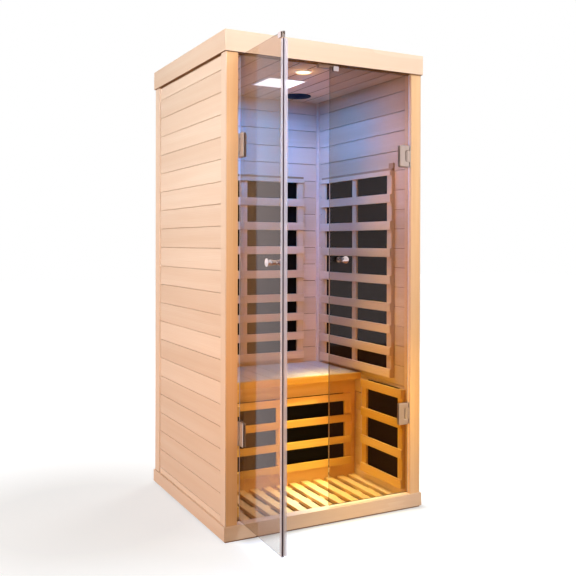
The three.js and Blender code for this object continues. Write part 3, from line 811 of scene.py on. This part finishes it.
def tone_by_board(ceiling):
    """Gives each of the ceiling's boards, which share one mesh, its own tone."""
    first_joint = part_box("ceiling_boards")[1].x - BOARD_PITCH / 2
    tones = [draw.random() for _ in range(CEILING_TONES)]
    values = []
    for vertex in ceiling.data.vertices:
        values.append(tones[max(0, math.ceil((first_joint - vertex.co.x) / BOARD_PITCH))])
    ceiling.data.attributes["tone"].data.foreach_set("value", values)


def shade_grooves(ceiling):
    """The faces of the grooves between the ceiling's boards are dark brown: painted shade in the grooves."""
    low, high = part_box("ceiling_boards")

    def in_groove(face):
        within = low.x + EDGE_STRIP < face.center.x < high.x - EDGE_STRIP
        return within and face.center.z > low.z + GROOVE_START and face.normal.z < FACING

    two_finishes(ceiling, inner_wood, painted_shade_wood, in_groove)


def dress_lamps():
    dress_node("light_panel", "light_panel_frame", LAMP_EDGE, white_plastic)
    low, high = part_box("light_panel")
    diffuser_low = (low.x + DIFFUSER_BORDER, low.y + DIFFUSER_BORDER, low.z - DIFFUSER_DROP)
    diffuser_high = (high.x - DIFFUSER_BORDER, high.y - DIFFUSER_BORDER, low.z + DIFFUSER_DEPTH)
    diffuser = join_pieces("light_panel_diffuser", [eased_box(diffuser_low, diffuser_high)])
    finish_piece(diffuser, led_light)
    ring = eased_copy("downlight_ring", "downlight_bezel", LAMP_EDGE, 2, ROUND_ANGLE)
    smooth(ring)
    finish_piece(ring, white_plastic, ["downlight_ring"])
    height = lens_high.z - lens_low.z
    profile = [(lens_radius * wide, height * up) for wide, up in LENS_PROFILE]
    lens = turned_piece("downlight_cover", profile, (lens_centre.x, lens_centre.y, lens_high.z), DOWN)
    finish_piece(lens, warm_light, ["downlight_lens"])


def dress_speaker():
    """A round grille of rings that rise to a crown, on a flange, with its basket above the ceiling."""
    low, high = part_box("speaker")
    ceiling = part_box("ceiling_boards")[0].z
    centre = (low + high) / 2
    radius = (high.x - low.x) / 2
    basket = radius - SPEAKER_FLANGE
    body = [(basket / 2, ceiling - high.z), (basket, -SPEAKER_BASKET), (basket, 0), (radius, 0)]
    body += [(radius, SPEAKER_RIM), (radius - SPEAKER_RIM, SPEAKER_CREST), (basket, SPEAKER_SEAT)]
    rise = ceiling - low.z - SPEAKER_RIM
    for ring in range(SPEAKER_RINGS):
        inner = basket * (1 - (ring + 1) / (SPEAKER_RINGS + 1))
        crown = SPEAKER_RIM + rise * (1 - (inner / basket) ** 2)
        body += [(inner + RING_WIDTH, crown - RING_STEP), (inner, crown)]
    place = (centre.x, centre.y, ceiling)
    speaker = turned_piece("speaker_grille", body, place, DOWN, SPEAKER_SIDES, SPEAKER_EDGE)
    finish_piece(speaker, speaker_cloth, ["speaker"])


def dress_power_box():
    dress_node("power_box", "mains_box", EASED_EDGE, sheet_steel)


# Floor and bench

def dress_floor():
    low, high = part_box("floor_slats")
    tread = low.z + FLOOR_BATTEN_HEIGHT
    pieces = [plank((low.x, low.y, tread), (high.x, low.y + FLOOR_RAIL, high.z), "x", SLAT_EDGE)]
    for start in (low.y, (low.y + high.y - FLOOR_BATTEN) / 2, high.y - FLOOR_BATTEN):
        pieces.append(plank((low.x, start, low.z), (high.x, start + FLOOR_BATTEN, tread), "x"))
    pitch = (high.x - low.x - FLOOR_SLAT) / (FLOOR_SLATS - 1)
    slat_low = (low.x, low.y + FLOOR_RAIL + BOARD_GAP, tread)
    pieces += slat_row(slat_low, (low.x + FLOOR_SLAT, high.y, high.z), FLOOR_SLATS, pitch)
    finish_piece(join_pieces("floor_grating", pieces), floor_wood, ["floor_slats"])


def dress_bench():
    """A seat of planks behind a nosing, with a strip between the back posts, on a riser and cleats."""
    low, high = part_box("bench_seat")
    post_low, post_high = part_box("left_back_post")
    back = post_low.y - BOARD_GAP
    nosing = plank(low, (high.x, low.y + SEAT_NOSING, high.z), "x", NOSING_EDGE)
    width = (high.x - low.x) / SEAT_PLANKS
    seat_low = (low.x, low.y + SEAT_NOSING + BOARD_GAP, low.z)
    planks = slat_row(seat_low, (low.x + width - INNER_GAP, back, high.z), SEAT_PLANKS, width)
    strip_low = (post_high.x + BOARD_GAP, back + BOARD_GAP, low.z)
    planks.append(plank(strip_low, (-post_high.x - BOARD_GAP, high.y, high.z), "x"))
    pieces = coat([nosing], honey_wood) + coat(planks, seat_wood)
    finish_piece(join_pieces("bench_planks", pieces), None, ["bench_seat"])

    low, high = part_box("bench_frame")
    riser_back = low.y + RISER_THICKNESS
    pieces = [plank(low, (high.x, riser_back, high.z), "x")]
    cleat_bottom = high.z - CLEAT_HEIGHT
    for start in (low.x, high.x - CLEAT_WIDTH):
        cleat_low = (start, riser_back, cleat_bottom)
        pieces.append(plank(cleat_low, (start + CLEAT_WIDTH, back, high.z), "y"))
    inside = high.x - CLEAT_WIDTH
    pieces.append(plank((-inside, high.y - CLEAT_WIDTH, cleat_bottom), (inside, high.y, high.z), "x"))
    finish_piece(join_pieces("bench_riser", pieces), honey_wood, ["bench_frame"])


# Heaters and guards

def wall_place(node, face_axis, face_side):
    """A function that turns (across, out, up) on a wall into a place in the cabin."""
    low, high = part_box(node)
    width_axis = 1 - face_axis
    plane = low[face_axis] if face_side > 0 else high[face_axis]

    def place(across, out, up):
        point = Vector((0, 0, up))
        point[width_axis] = across
        point[face_axis] = plane + face_side * out
        return point

    return place, low[width_axis], high[width_axis], low.z, high.z


def wall_plank(place, across, out, up, along):
    ends = list(zip(place(across[0], out[0], up[0]), place(across[1], out[1], up[1])))
    return plank([min(pair) for pair in ends], [max(pair) for pair in ends], along, SLAT_EDGE)


def dress_guard(name, face_axis, face_side, cells, slat, top_slat, columns, finish, raised=None):
    """A guard of level slats on stiles, over its heater.

    raised is how far a wall guard's ear stands above its slats, or 0 where it has a batten alone.
    Low guards have neither.
    """
    node = f"{name}_guard"
    place, left, right, bottom, top = wall_place(node, face_axis, face_side)
    along = "y" if face_axis == 0 else "x"
    slats_top = top - (raised or 0)
    low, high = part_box(node)
    depth = high[face_axis] - low[face_axis]
    behind = (0, STILE_DEPTH)
    pieces = []
    for start in (left, right - STILE_WIDTH):
        pieces.append(wall_plank(place, (start, start + STILE_WIDTH), behind, (bottom, slats_top), "z"))
    panel = (left + STILE_WIDTH, right - STILE_WIDTH)
    for column in range(1, columns):
        middle = panel[0] + (panel[1] - panel[0]) * column / columns
        across = (middle - STILE_WIDTH / 2, middle + STILE_WIDTH / 2)
        pieces.append(wall_plank(place, across, (HEATER_THICKNESS, STILE_DEPTH), (bottom, slats_top), "z"))
    slat_bottom = bottom
    for height, cell in zip([slat] * len(cells) + [top_slat], [*cells, 0]):
        up = (slat_bottom, slat_bottom + height)
        pieces.append(wall_plank(place, (left, right), (STILE_DEPTH, depth), up, along))
        slat_bottom += height + cell
    coat(pieces, finish)
    if raised is not None:
        batten_top = slats_top + TOP_BATTEN
        battens = [wall_plank(place, (left, right), behind, (slats_top, batten_top), along)]
        if raised:
            ear = (left, left + STILE_WIDTH)
            battens.append(wall_plank(place, ear, (0, STILE_DEPTH / 2), (batten_top, top), "z"))
        # Painted shade in part: the battens and ears are a brown darkened further for the gap they sit in
        pieces += coat(battens, batten_brown_and_shade)
    finish_piece(join_pieces(f"{name}_slats", pieces), None, [node])
    dress_node(f"{name}_heater", f"{name}_panel", SMALL_EDGE, heater_black)


def dress_heaters():
    wall_slats = (WALL_CELLS, WALL_SLAT, WALL_TOP_SLAT, 2, guard_wood)
    for side, hand in HAND.items():
        dress_guard(f"{side}_wall", 0, -hand, *wall_slats, RAISED_STILE)
        dress_guard(f"{side}_calf", 0, -hand, CALF_CELLS, CALF_SLAT, CALF_SLAT, 1, honey_wood)
    dress_guard("back_wall", 1, -1, *wall_slats, 0)
    dress_guard("bench", 1, -1, BENCH_CELLS, BENCH_SLAT, BENCH_SLAT, 2, honey_wood)


# Doors

FLAT_TOLERANCE = 0.0001


def hinge_line(side):
    name = f"{side}_door_hinge"
    return Vector(next(joint["pos_m"] for joint in frame["joints"] if joint["name"] == name))


def door_matrix(side):
    """Where a door's closed place goes in the photographed pose."""
    if side == "right":
        return Matrix.Identity(4)
    pivot = hinge_line(side)
    turn = Matrix.Rotation(-OPEN_ANGLE, 4, "Z")
    return Matrix.Translation(pivot) @ turn @ Matrix.Translation(-pivot)


def door_way(side, way):
    """Where a direction on the closed door points in the photographed pose."""
    return door_matrix(side).to_3x3() @ Vector(way)


def closed_box(node, side):
    """A door node's lowest and highest corner with its door closed."""
    back = door_matrix(side).inverted()
    points = [back @ vertex.co for vertex in nodes[node].data.vertices]
    low = Vector([min(point[axis] for point in points) for axis in range(3)])
    high = Vector([max(point[axis] for point in points) for axis in range(3)])
    return low, high


def dress_knobs(side):
    turn = door_matrix(side)
    outward = door_way(side, (0, -1, 0))
    body = f"{side}_door"
    low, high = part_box("right_door_outer_knob")
    x = HAND[side] * (low.x + high.x) / 2
    z = (low.z + high.z) / 2
    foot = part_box("right_door_glass")[0].y - GLASS_CLEARANCE
    length = foot - low.y
    profile = PULL_STEM + [(radius, length - under) for radius, under in PULL_END]
    knob = turned_piece(f"{side}_pull_knob", profile, turn @ Vector((x, foot, z)), outward)
    finish_piece(knob, chrome, [f"{side}_door_outer_knob"], body)
    low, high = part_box("right_door_inner_knob")
    depth = high.y - low.y
    rim = (high.z - low.z) / 2
    profile = INSIDE_STEM + [(rim - inward, depth - under) for inward, under in INSIDE_RIM]
    profile.append((INSIDE_CENTRE, depth - INSIDE_HOLLOW))
    knob = turned_piece(f"{side}_inside_knob", profile, turn @ Vector((x, low.y, z)), -outward)
    finish_piece(knob, chrome, [f"{side}_door_inner_knob"], body)


def chamfer_faces(piece, side, half):
    """Cuts a slope along the edges of the two faces that lie parallel to the glass."""
    back = door_matrix(side).inverted()
    middle = hinge_line(side).y
    open_edit(piece)
    bpy.ops.mesh.select_mode(type="EDGE")
    bpy.ops.mesh.select_all(action="DESELECT")
    bpy.ops.mesh.edges_select_sharp(sharpness=math.radians(SMOOTH_ANGLE))
    close_edit()
    heights = [abs((back @ vertex.co).y - middle) for vertex in piece.data.vertices]
    outer = [abs(height - half) < FLAT_TOLERANCE for height in heights]
    for edge in piece.data.edges:
        edge.select = edge.select and all(outer[index] for index in edge.vertices)
    bpy.ops.object.mode_set(mode="EDIT")
    bpy.ops.mesh.bevel(offset=CLAMP_CHAMFER, offset_type="OFFSET", segments=1, affect="EDGES")
    bpy.ops.mesh.select_mode(type="VERT")
    close_edit()


def dress_hinge(side, level):
    hinge = f"{side}_door_{level}_hinge"
    clamp = merged_copy(f"{hinge}_clamp", f"{side}_{level}_glass_clamp")
    low, high = closed_box(f"{hinge}_clamp", side)
    chamfer_faces(clamp, side, (high.y - low.y) / 2)
    smooth(clamp, ROUND_ANGLE)
    across = door_way(side, (1, 0, 0))
    # Painted shade: the clamp's faces that look across the door get the near black nickel
    two_finishes(clamp, satin_steel, painted_shade_steel, lambda face: abs(face.normal.dot(across)) > FACING)
    finish_piece(clamp, None, [f"{hinge}_clamp"], f"{side}_door")
    bracket = f"{side}_{level}_post_bracket"
    dress_node(f"{hinge}_bracket", bracket, SMALL_EDGE, satin_steel)
    set_finishes(nodes[f"{hinge}_pin"], chrome)


def dress_pane(side):
    """A pane with edges that are pale beside the hinges as a painted highlight, dark under the right door as
    painted shade, or half clear.
    """
    node = f"{side}_door_glass"
    pane = eased_copy(node, f"{side}_pane", GLASS_CHAMFER, 1)
    outward = door_way(side, (0, -1, 0))
    hinge_way = door_way(side, (HAND[side], 0, 0))
    set_finishes(pane, bronze_glass, ground_edge, painted_glint_edge, shaded_edge)
    for face in pane.data.polygons:
        if abs(face.normal.dot(outward)) > FACING:
            face.material_index = 0
        # Painted highlight: the edge faces toward the hinges get the pale lavender
        elif face.normal.dot(hinge_way) > EDGE_FACING:
            face.material_index = 2
        # Painted shade: the right pane's downward edge faces get the near black
        elif face.normal.z < -EDGE_FACING and side == "right":
            face.material_index = 3
        else:
            face.material_index = 1
    finish_piece(pane, None, [node], f"{side}_door")


def dress_seal():
    """A clear channel on the left door's free edge, with a lip that meets the other door, and a dark strip
    in its web as painted shade.
    """
    low, high = closed_box("left_door_seal", "left")
    middle = hinge_line("left").y
    half = middle - low.y
    back = middle + half
    web = high.x - SEAL_THICKNESS
    shade_start = low.y + half * SEAL_SHADE_SHARE
    parts = [
        (low, (web, low.y + SEAL_THICKNESS, high.z), clear_seal),
        ((low.x, back - SEAL_THICKNESS, low.z), (web, back, high.z), clear_seal),
        ((web, low.y, low.z), (high.x, shade_start, high.z), clear_seal),
        # Painted shade: the dark strip in the web
        ((web, shade_start, low.z), (high.x, middle, high.z), seal_core),
        ((web, middle, low.z), (high.x, back, high.z), clear_seal),
        ((web - SEAL_THICKNESS, back, low.z), high, clear_seal),
    ]
    pieces = []
    for part_low, part_high, finish in parts:
        pieces += coat([eased_box(part_low, part_high)], finish)
    seal = join_pieces("left_edge_seal", pieces)
    seal.matrix_world = door_matrix("left")
    apply_place(seal)
    finish_piece(seal, None, ["left_door_seal"], "left_door")


def dress_doors():
    for side in HAND:
        dress_pane(side)
        dress_node(f"{side}_door_strike", f"{side}_strike_clip", FINE_EDGE, chrome, f"{side}_door")
        for level in ("upper", "lower"):
            dress_hinge(side, level)
        dress_knobs(side)
    dress_seal()
    dress_node("door_catch", "magnet_case", SMALL_EDGE, brown_plastic)


# Controls

def dress_controls():
    dress_node("control_panel", "control_bezel", EASED_EDGE, black_plastic)
    low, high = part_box("control_panel")
    window_low = (high.x - WINDOW_DEPTH, low.y + WINDOW_INSET, (low.z + high.z) / 2)
    window_high = (high.x + WINDOW_RISE, high.y - WINDOW_INSET, high.z - WINDOW_INSET)
    window = join_pieces("control_window", [eased_box(window_low, window_high)])
    finish_piece(window, display_glass)
    for name in ("heat_button", "light_button"):
        cap = eased_copy(name, f"{name}_cap", BUTTON_EDGE, 3)
        smooth(cap)
        finish_piece(cap, white_plastic, [name], name)


# Floor and surroundings

FLOOR_SIZE = 40.0
FLOOR_DROP = 0.0005
FLOOR_SEEN = (0.4, 0.4, 0.4)
FLOOR_BOUNCE = (0.56, 0.40, 0.26)
FLOOR_THROUGH_GLASS = (1.11, 1.38, 1.63)
FLOOR_FAR = (0.95, 0.95, 0.95)
FLOOR_MIRRORED_LEFT = (1.0, 0.88, 0.90)
FLOOR_MIRRORED_FRONT = (0.35, 0.12, 0.05)
DOOR_PLACE = (-0.27, -0.48, 0.0)
DOOR_REACH = (0.3, 0.5)
# Painted shadow: the floor's glow is lowered near this place, beside the cabin's left
SHADOW_PLACE = (-0.82, 0.12, 0.0)
SHADOW_REACH = (0.4, 1.1)
SHADOW_LEVEL = 0.68
OPEN_LEVEL = 1.04
FRONT_PLACE = (2.2, -2.0, 0.0)
FRONT_REACH = (3.0, 3.3)
# Painted shadow: the floor's glow is lowered along the plinth
CONTACT_SHADE = 0.45
CONTACT_REACH = 0.06
CONTACT_INSET = 0.10
BLACK = (0, 0, 0)
WHITE = (1, 1, 1)
WORLD_LIGHT = 0.38
WORLD_COLOUR = (1.0, 0.92, 0.76)
MIRRORED_COLOUR = (1.0, 0.86, 0.87)
MIRRORED_FRONT = 0.8
MIRRORED_BACK = 1.2
FRONT_START = -0.8
DARK_SIDE = (-0.5, -0.85, 0.1)
DARK_LEVEL = 0.12
DARK_REACH = (0.70, 0.92)


def ray_kinds(tree):
    """Whether a ray comes from the camera, straight or through glass; is mirrored; or came through glass."""
    rays = add_node(tree, "ShaderNodeLightPath").outputs
    through = rays["Is Transmission Ray"]
    eye = combine(tree, "MAXIMUM", rays["Is Camera Ray"], through)
    bent = combine(tree, "MAXIMUM", rays["Is Glossy Ray"], through)
    return eye, combine(tree, "MULTIPLY", bent, rays["Glossy Depth"], True), through


def contact_shade(tree, place):
    """Lower close to the plinth, where the floor sees little light: a painted contact shadow in the floor's
    glow.
    """
    low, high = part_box("base_plinth")
    low.x += CONTACT_INSET
    outside = vector_step(tree, "SUBTRACT", place, (low + high) / 2)["Vector"]
    outside = vector_step(tree, "ABSOLUTE", outside)["Vector"]
    outside = vector_step(tree, "SUBTRACT", outside, (high - low) / 2)["Vector"]
    outside = vector_step(tree, "MAXIMUM", outside, (0, 0, 0))["Vector"]
    away = vector_step(tree, "LENGTH", scaled_place(tree, outside, (1, 1, 0)))["Value"]
    return spread(tree, away, CONTACT_SHADE, 1.0, 0.0, CONTACT_REACH)


def white_floor():
    """A white floor that keeps a soft shadow and sends back a little warm light. Its glow is lowered beside
    the cabin's left and along the plinth as painted shadow.
    """
    deselect_all()
    bpy.ops.mesh.primitive_plane_add(size=FLOOR_SIZE, location=(0, 0, -FLOOR_DROP))
    floor = bpy.context.object
    floor.name = "studio_floor"
    material, tree, shader = new_material("studio_floor")
    set_inputs(shader, {"Base Color": opaque(FLOOR_BOUNCE), "Roughness": 0.9})
    eye, mirrored, through = ray_kinds(tree)
    place = piece_place(tree)
    from_door = by_distance(tree, place, DOOR_PLACE, DOOR_REACH)
    glass_seen = mix_colour(tree, from_door, FLOOR_SEEN, BLACK)
    glass_glow = mix_colour(tree, from_door, FLOOR_THROUGH_GLASS, FLOOR_FAR)
    rest = [1.0 - part * WORLD_LIGHT * tint for part, tint in zip(FLOOR_SEEN, WORLD_COLOUR)]
    # Painted shadow: the glow is lower near the cabin's left
    shadow = by_distance(tree, place, SHADOW_PLACE, SHADOW_REACH, SHADOW_LEVEL, OPEN_LEVEL)
    from_front = by_distance(tree, place, FRONT_PLACE, FRONT_REACH)
    seen = add_node(tree, "ShaderNodeBsdfDiffuse", {
        "Color": mix_colour(tree, through, FLOOR_SEEN, glass_seen),
    })
    glow = add_node(tree, "ShaderNodeEmission", {
        "Color": mix_colour(tree, through, rest, glass_glow),
        "Strength": combine(tree, "MULTIPLY", shadow, contact_shade(tree, place)),
    })
    reflection = add_node(tree, "ShaderNodeEmission", {
        "Color": mix_colour(tree, from_front, FLOOR_MIRRORED_FRONT, FLOOR_MIRRORED_LEFT),
    })
    both = add_node(tree, "ShaderNodeAddShader", {0: seen.outputs[0], 1: glow.outputs[0]})
    surface = blend_shaders(tree, eye, shader.outputs[0], both.outputs[0])
    surface = blend_shaders(tree, mirrored, surface, reflection.outputs[0])
    set_inputs(tree.nodes["Material Output"], {"Surface": surface})
    floor.data.materials.append(material)


def white_world():
    """White to the camera, a soft warm light on the object, and darker in front in mirrored rays."""
    world = bpy.data.worlds.new("studio")
    bpy.context.scene.world = world
    world.use_nodes = True
    tree = world.node_tree
    eye, mirrored, _ = ray_kinds(tree)
    direction = add_node(tree, "ShaderNodeTexCoord").outputs["Generated"]
    parts = add_node(tree, "ShaderNodeSeparateXYZ", {0: direction})
    pale = spread(tree, parts.outputs["Y"], MIRRORED_FRONT, MIRRORED_BACK, FRONT_START, 0.0)
    toward = vector_step(tree, "DOT_PRODUCT", direction, DARK_SIDE)["Value"]
    dim = combine(tree, "MULTIPLY", pale, spread(tree, toward, 1.0, DARK_LEVEL, *DARK_REACH))
    soft = tree.nodes["Background"]
    set_inputs(soft, {"Color": opaque(WORLD_COLOUR), "Strength": WORLD_LIGHT})
    white = add_node(tree, "ShaderNodeBackground", {"Color": opaque(WHITE), "Strength": 1.0})
    mirrored_light = {"Color": opaque(MIRRORED_COLOUR), "Strength": dim}
    reflection = add_node(tree, "ShaderNodeBackground", mirrored_light)
    surface = blend_shaders(tree, eye, soft.outputs[0], white.outputs[0])
    surface = blend_shaders(tree, mirrored, surface, reflection.outputs[0])
    set_inputs(tree.nodes["World Output"], {"Surface": surface})


# Lights and camera

LAMP_GAP = 0.004
HALO_DROP = 0.030
DAYLIGHT = (1.0, 0.98, 0.96)


def softbox(name, place, target, size, power, colour, spread_angle=180):
    light = bpy.data.lights.new(name, "AREA")
    light.shape = "RECTANGLE"
    light.size, light.size_y = size
    light.energy = power
    light.color = colour
    light.spread = math.radians(spread_angle)
    lamp = add_object(name, light)
    lamp.location = place
    lamp.rotation_euler = (Vector(target) - Vector(place)).to_track_quat("-Z", "Y").to_euler()
    lamp.visible_camera = False
    lamp.visible_glossy = False
    lamp.visible_transmission = False


def room_lights():
    """Large soft lights round the cabin, and small ones aimed at its posts and plinth."""
    softbox("left_softbox", (-5.2, -1.2, 1.0), (-0.45, 0.0, 1.1), (1.8, 1.6), 99.0, DAYLIGHT)
    softbox("rear_softbox", (3.6, 3.4, 2.0), (0.3, 0.3, 1.0), (2.0, 2.0), 150.0, DAYLIGHT)
    softbox("left_top_softbox", (-2.2, 0.0, 2.6), (-0.45, 0.0, 1.6), (0.8, 0.8), 1.0, (0.6, 0.9, 1.0), 50)
    softbox("left_low_fill", (-2.2, -0.2, 0.2), (-0.45, 0.0, 0.4), (1.6, 0.3), 1.1, (1.0, 0.3, 0.0), 80)
    softbox("right_softbox", (1.1, -1.8, 3.2), (0.0, -0.42, 1.1), (1.4, 0.8), 23.5, (0.96, 1.0, 1.0), 120)
    softbox("post_fill", (-1.8, -3.0, 2.4), (-0.42, -0.42, 1.6), (0.8, 0.8), 4.0, (1.0, 0.88, 0.85), 40)
    softbox("post_low_fill", (-0.9, -1.5, 0.6), (-0.43, -0.45, 0.6), (0.3, 0.3), 0.6, (1.0, 0.38, 0.02), 64)
    softbox("base_fill", (1.2, -2.2, 0.15), (0.36, -0.45, 0.03), (0.5, 0.15), 0.16, (1.0, 0.95, 0.85), 26)
    softbox("right_post_fill", (1.3, -2.0, 1.0), (0.43, -0.45, 1.05), (0.3, 0.3), 0.18, (1.0, 0.8, 0.7), 30)


def cabin_lights():
    """Weak warm lights for the walls, the bench and the floor inside."""
    softbox("doorway_fill", (0.06, -1.3, 0.55), (0.20, 0.0, 0.42), (0.4, 0.25), 0.85, (1.0, 0.60, 0.06), 48)
    softbox("back_fill", (-0.15, -1.5, 1.20), (0.08, 0.42, 1.08), (0.3, 0.3), 0.36, (1.0, 0.80, 0.90), 21)
    softbox("wall_fill", (-0.38, -0.32, 1.45), (0.43, -0.32, 1.40), (0.2, 0.4), 0.6, (1.0, 0.72, 0.65), 54)
    softbox("left_wall_fill", (0.38, -0.3, 1.45), (-0.43, -0.3, 1.35), (0.2, 0.4), 0.4, (1.0, 0.66, 0.7), 54)
    softbox("bench_fill", (-0.02, -0.40, 0.95), (0.0, 0.0, 0.30), (0.5, 0.06), 0.35, (1.0, 0.5, 0.0), 75)
    softbox("low_fill", (-0.36, -0.14, 0.34), (0.43, -0.37, 0.36), (0.3, 0.3), 1.25, (1.0, 0.68, 0.02), 84)
    softbox("front_fill", (-0.36, -0.2, 0.9), (0.43, -0.39, 0.86), (0.2, 0.5), 0.32, (1.0, 0.62, 0.4), 48)
    softbox("floor_fill", (0.08, -0.22, 0.4), (0.11, -0.22, 0.0), (0.66, 0.2), 1.15, (1.0, 0.88, 0.3), 100)
    softbox("floor_glint", (-0.05, -0.25, 0.5), (-0.05, -0.23, 0), (0.15, 0.2), 0.22, (0.38, 0.58, 1.0), 45)
    softbox("ceiling_bounce", (0.0, 0.0, 1.45), (0.0, 0.0, 1.9), (0.6, 0.5), 0.22, (1.0, 0.64, 0.95), 60)


def lamp_glows():
    """The light of the ceiling's panel and downlight."""
    panel_low, panel_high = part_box("light_panel")
    panel = (panel_low + panel_high) / 2
    under_panel = (panel.x, panel.y, panel_low.z - LAMP_GAP)
    softbox("led_glow", under_panel, (panel.x, panel.y, 0), (0.16, 0.16), 12.8, (0.0, 0.235, 1.0))
    under_lens = (lens_centre.x, lens_centre.y, lens_low.z - LAMP_GAP)
    below_lens = (lens_centre.x, lens_centre.y, lens_low.z - HALO_DROP)
    floor_spot = (lens_centre.x, lens_centre.y, 0)
    softbox("downlight_glow", under_lens, floor_spot, (0.04, 0.04), 0.6, (1.0, 0.80, 0.20), 75)
    softbox("downlight_halo", below_lens, under_lens, (0.05, 0.05), 0.05, (1.0, 0.65, 0.25))
    beside_lens = (0.2, -0.18, lens_low.z)
    softbox("ceiling_fill", beside_lens, (0.26, -0.20, 0), (0.2, 0.2), 1.35, (1.0, 1.0, 0.42), 28)


def photo_camera():
    data = bpy.data.cameras.new("photo_camera")
    data.sensor_width = SENSOR_WIDTH
    data.lens = FOCAL_PIXELS * SENSOR_WIDTH / FRAME_PIXELS
    data.shift_x = (FRAME_PIXELS / 2 - MIDDLE_PIXEL[0]) / FRAME_PIXELS
    data.shift_y = (MIDDLE_PIXEL[1] - FRAME_PIXELS / 2) / FRAME_PIXELS
    camera = add_object("photo_camera", data)
    camera.location = CAMERA_PLACE
    turn = Matrix.Rotation(CAMERA_YAW, 4, "Z")
    tilt = Matrix.Rotation(math.pi / 2 + CAMERA_PITCH, 4, "X")
    roll = Matrix.Rotation(CAMERA_ROLL, 4, "Z")
    camera.rotation_euler = (turn @ tilt @ roll).to_euler()
    bpy.context.scene.camera = camera


bpy.context.scene.view_settings.view_transform = "Standard"
photo_camera()
dress_base()
dress_posts()
dress_walls()
dress_roof()
dress_lamps()
dress_speaker()
dress_power_box()
dress_floor()
dress_bench()
dress_heaters()
dress_doors()
dress_controls()
white_floor()
white_world()
room_lights()
cabin_lights()
lamp_glows()
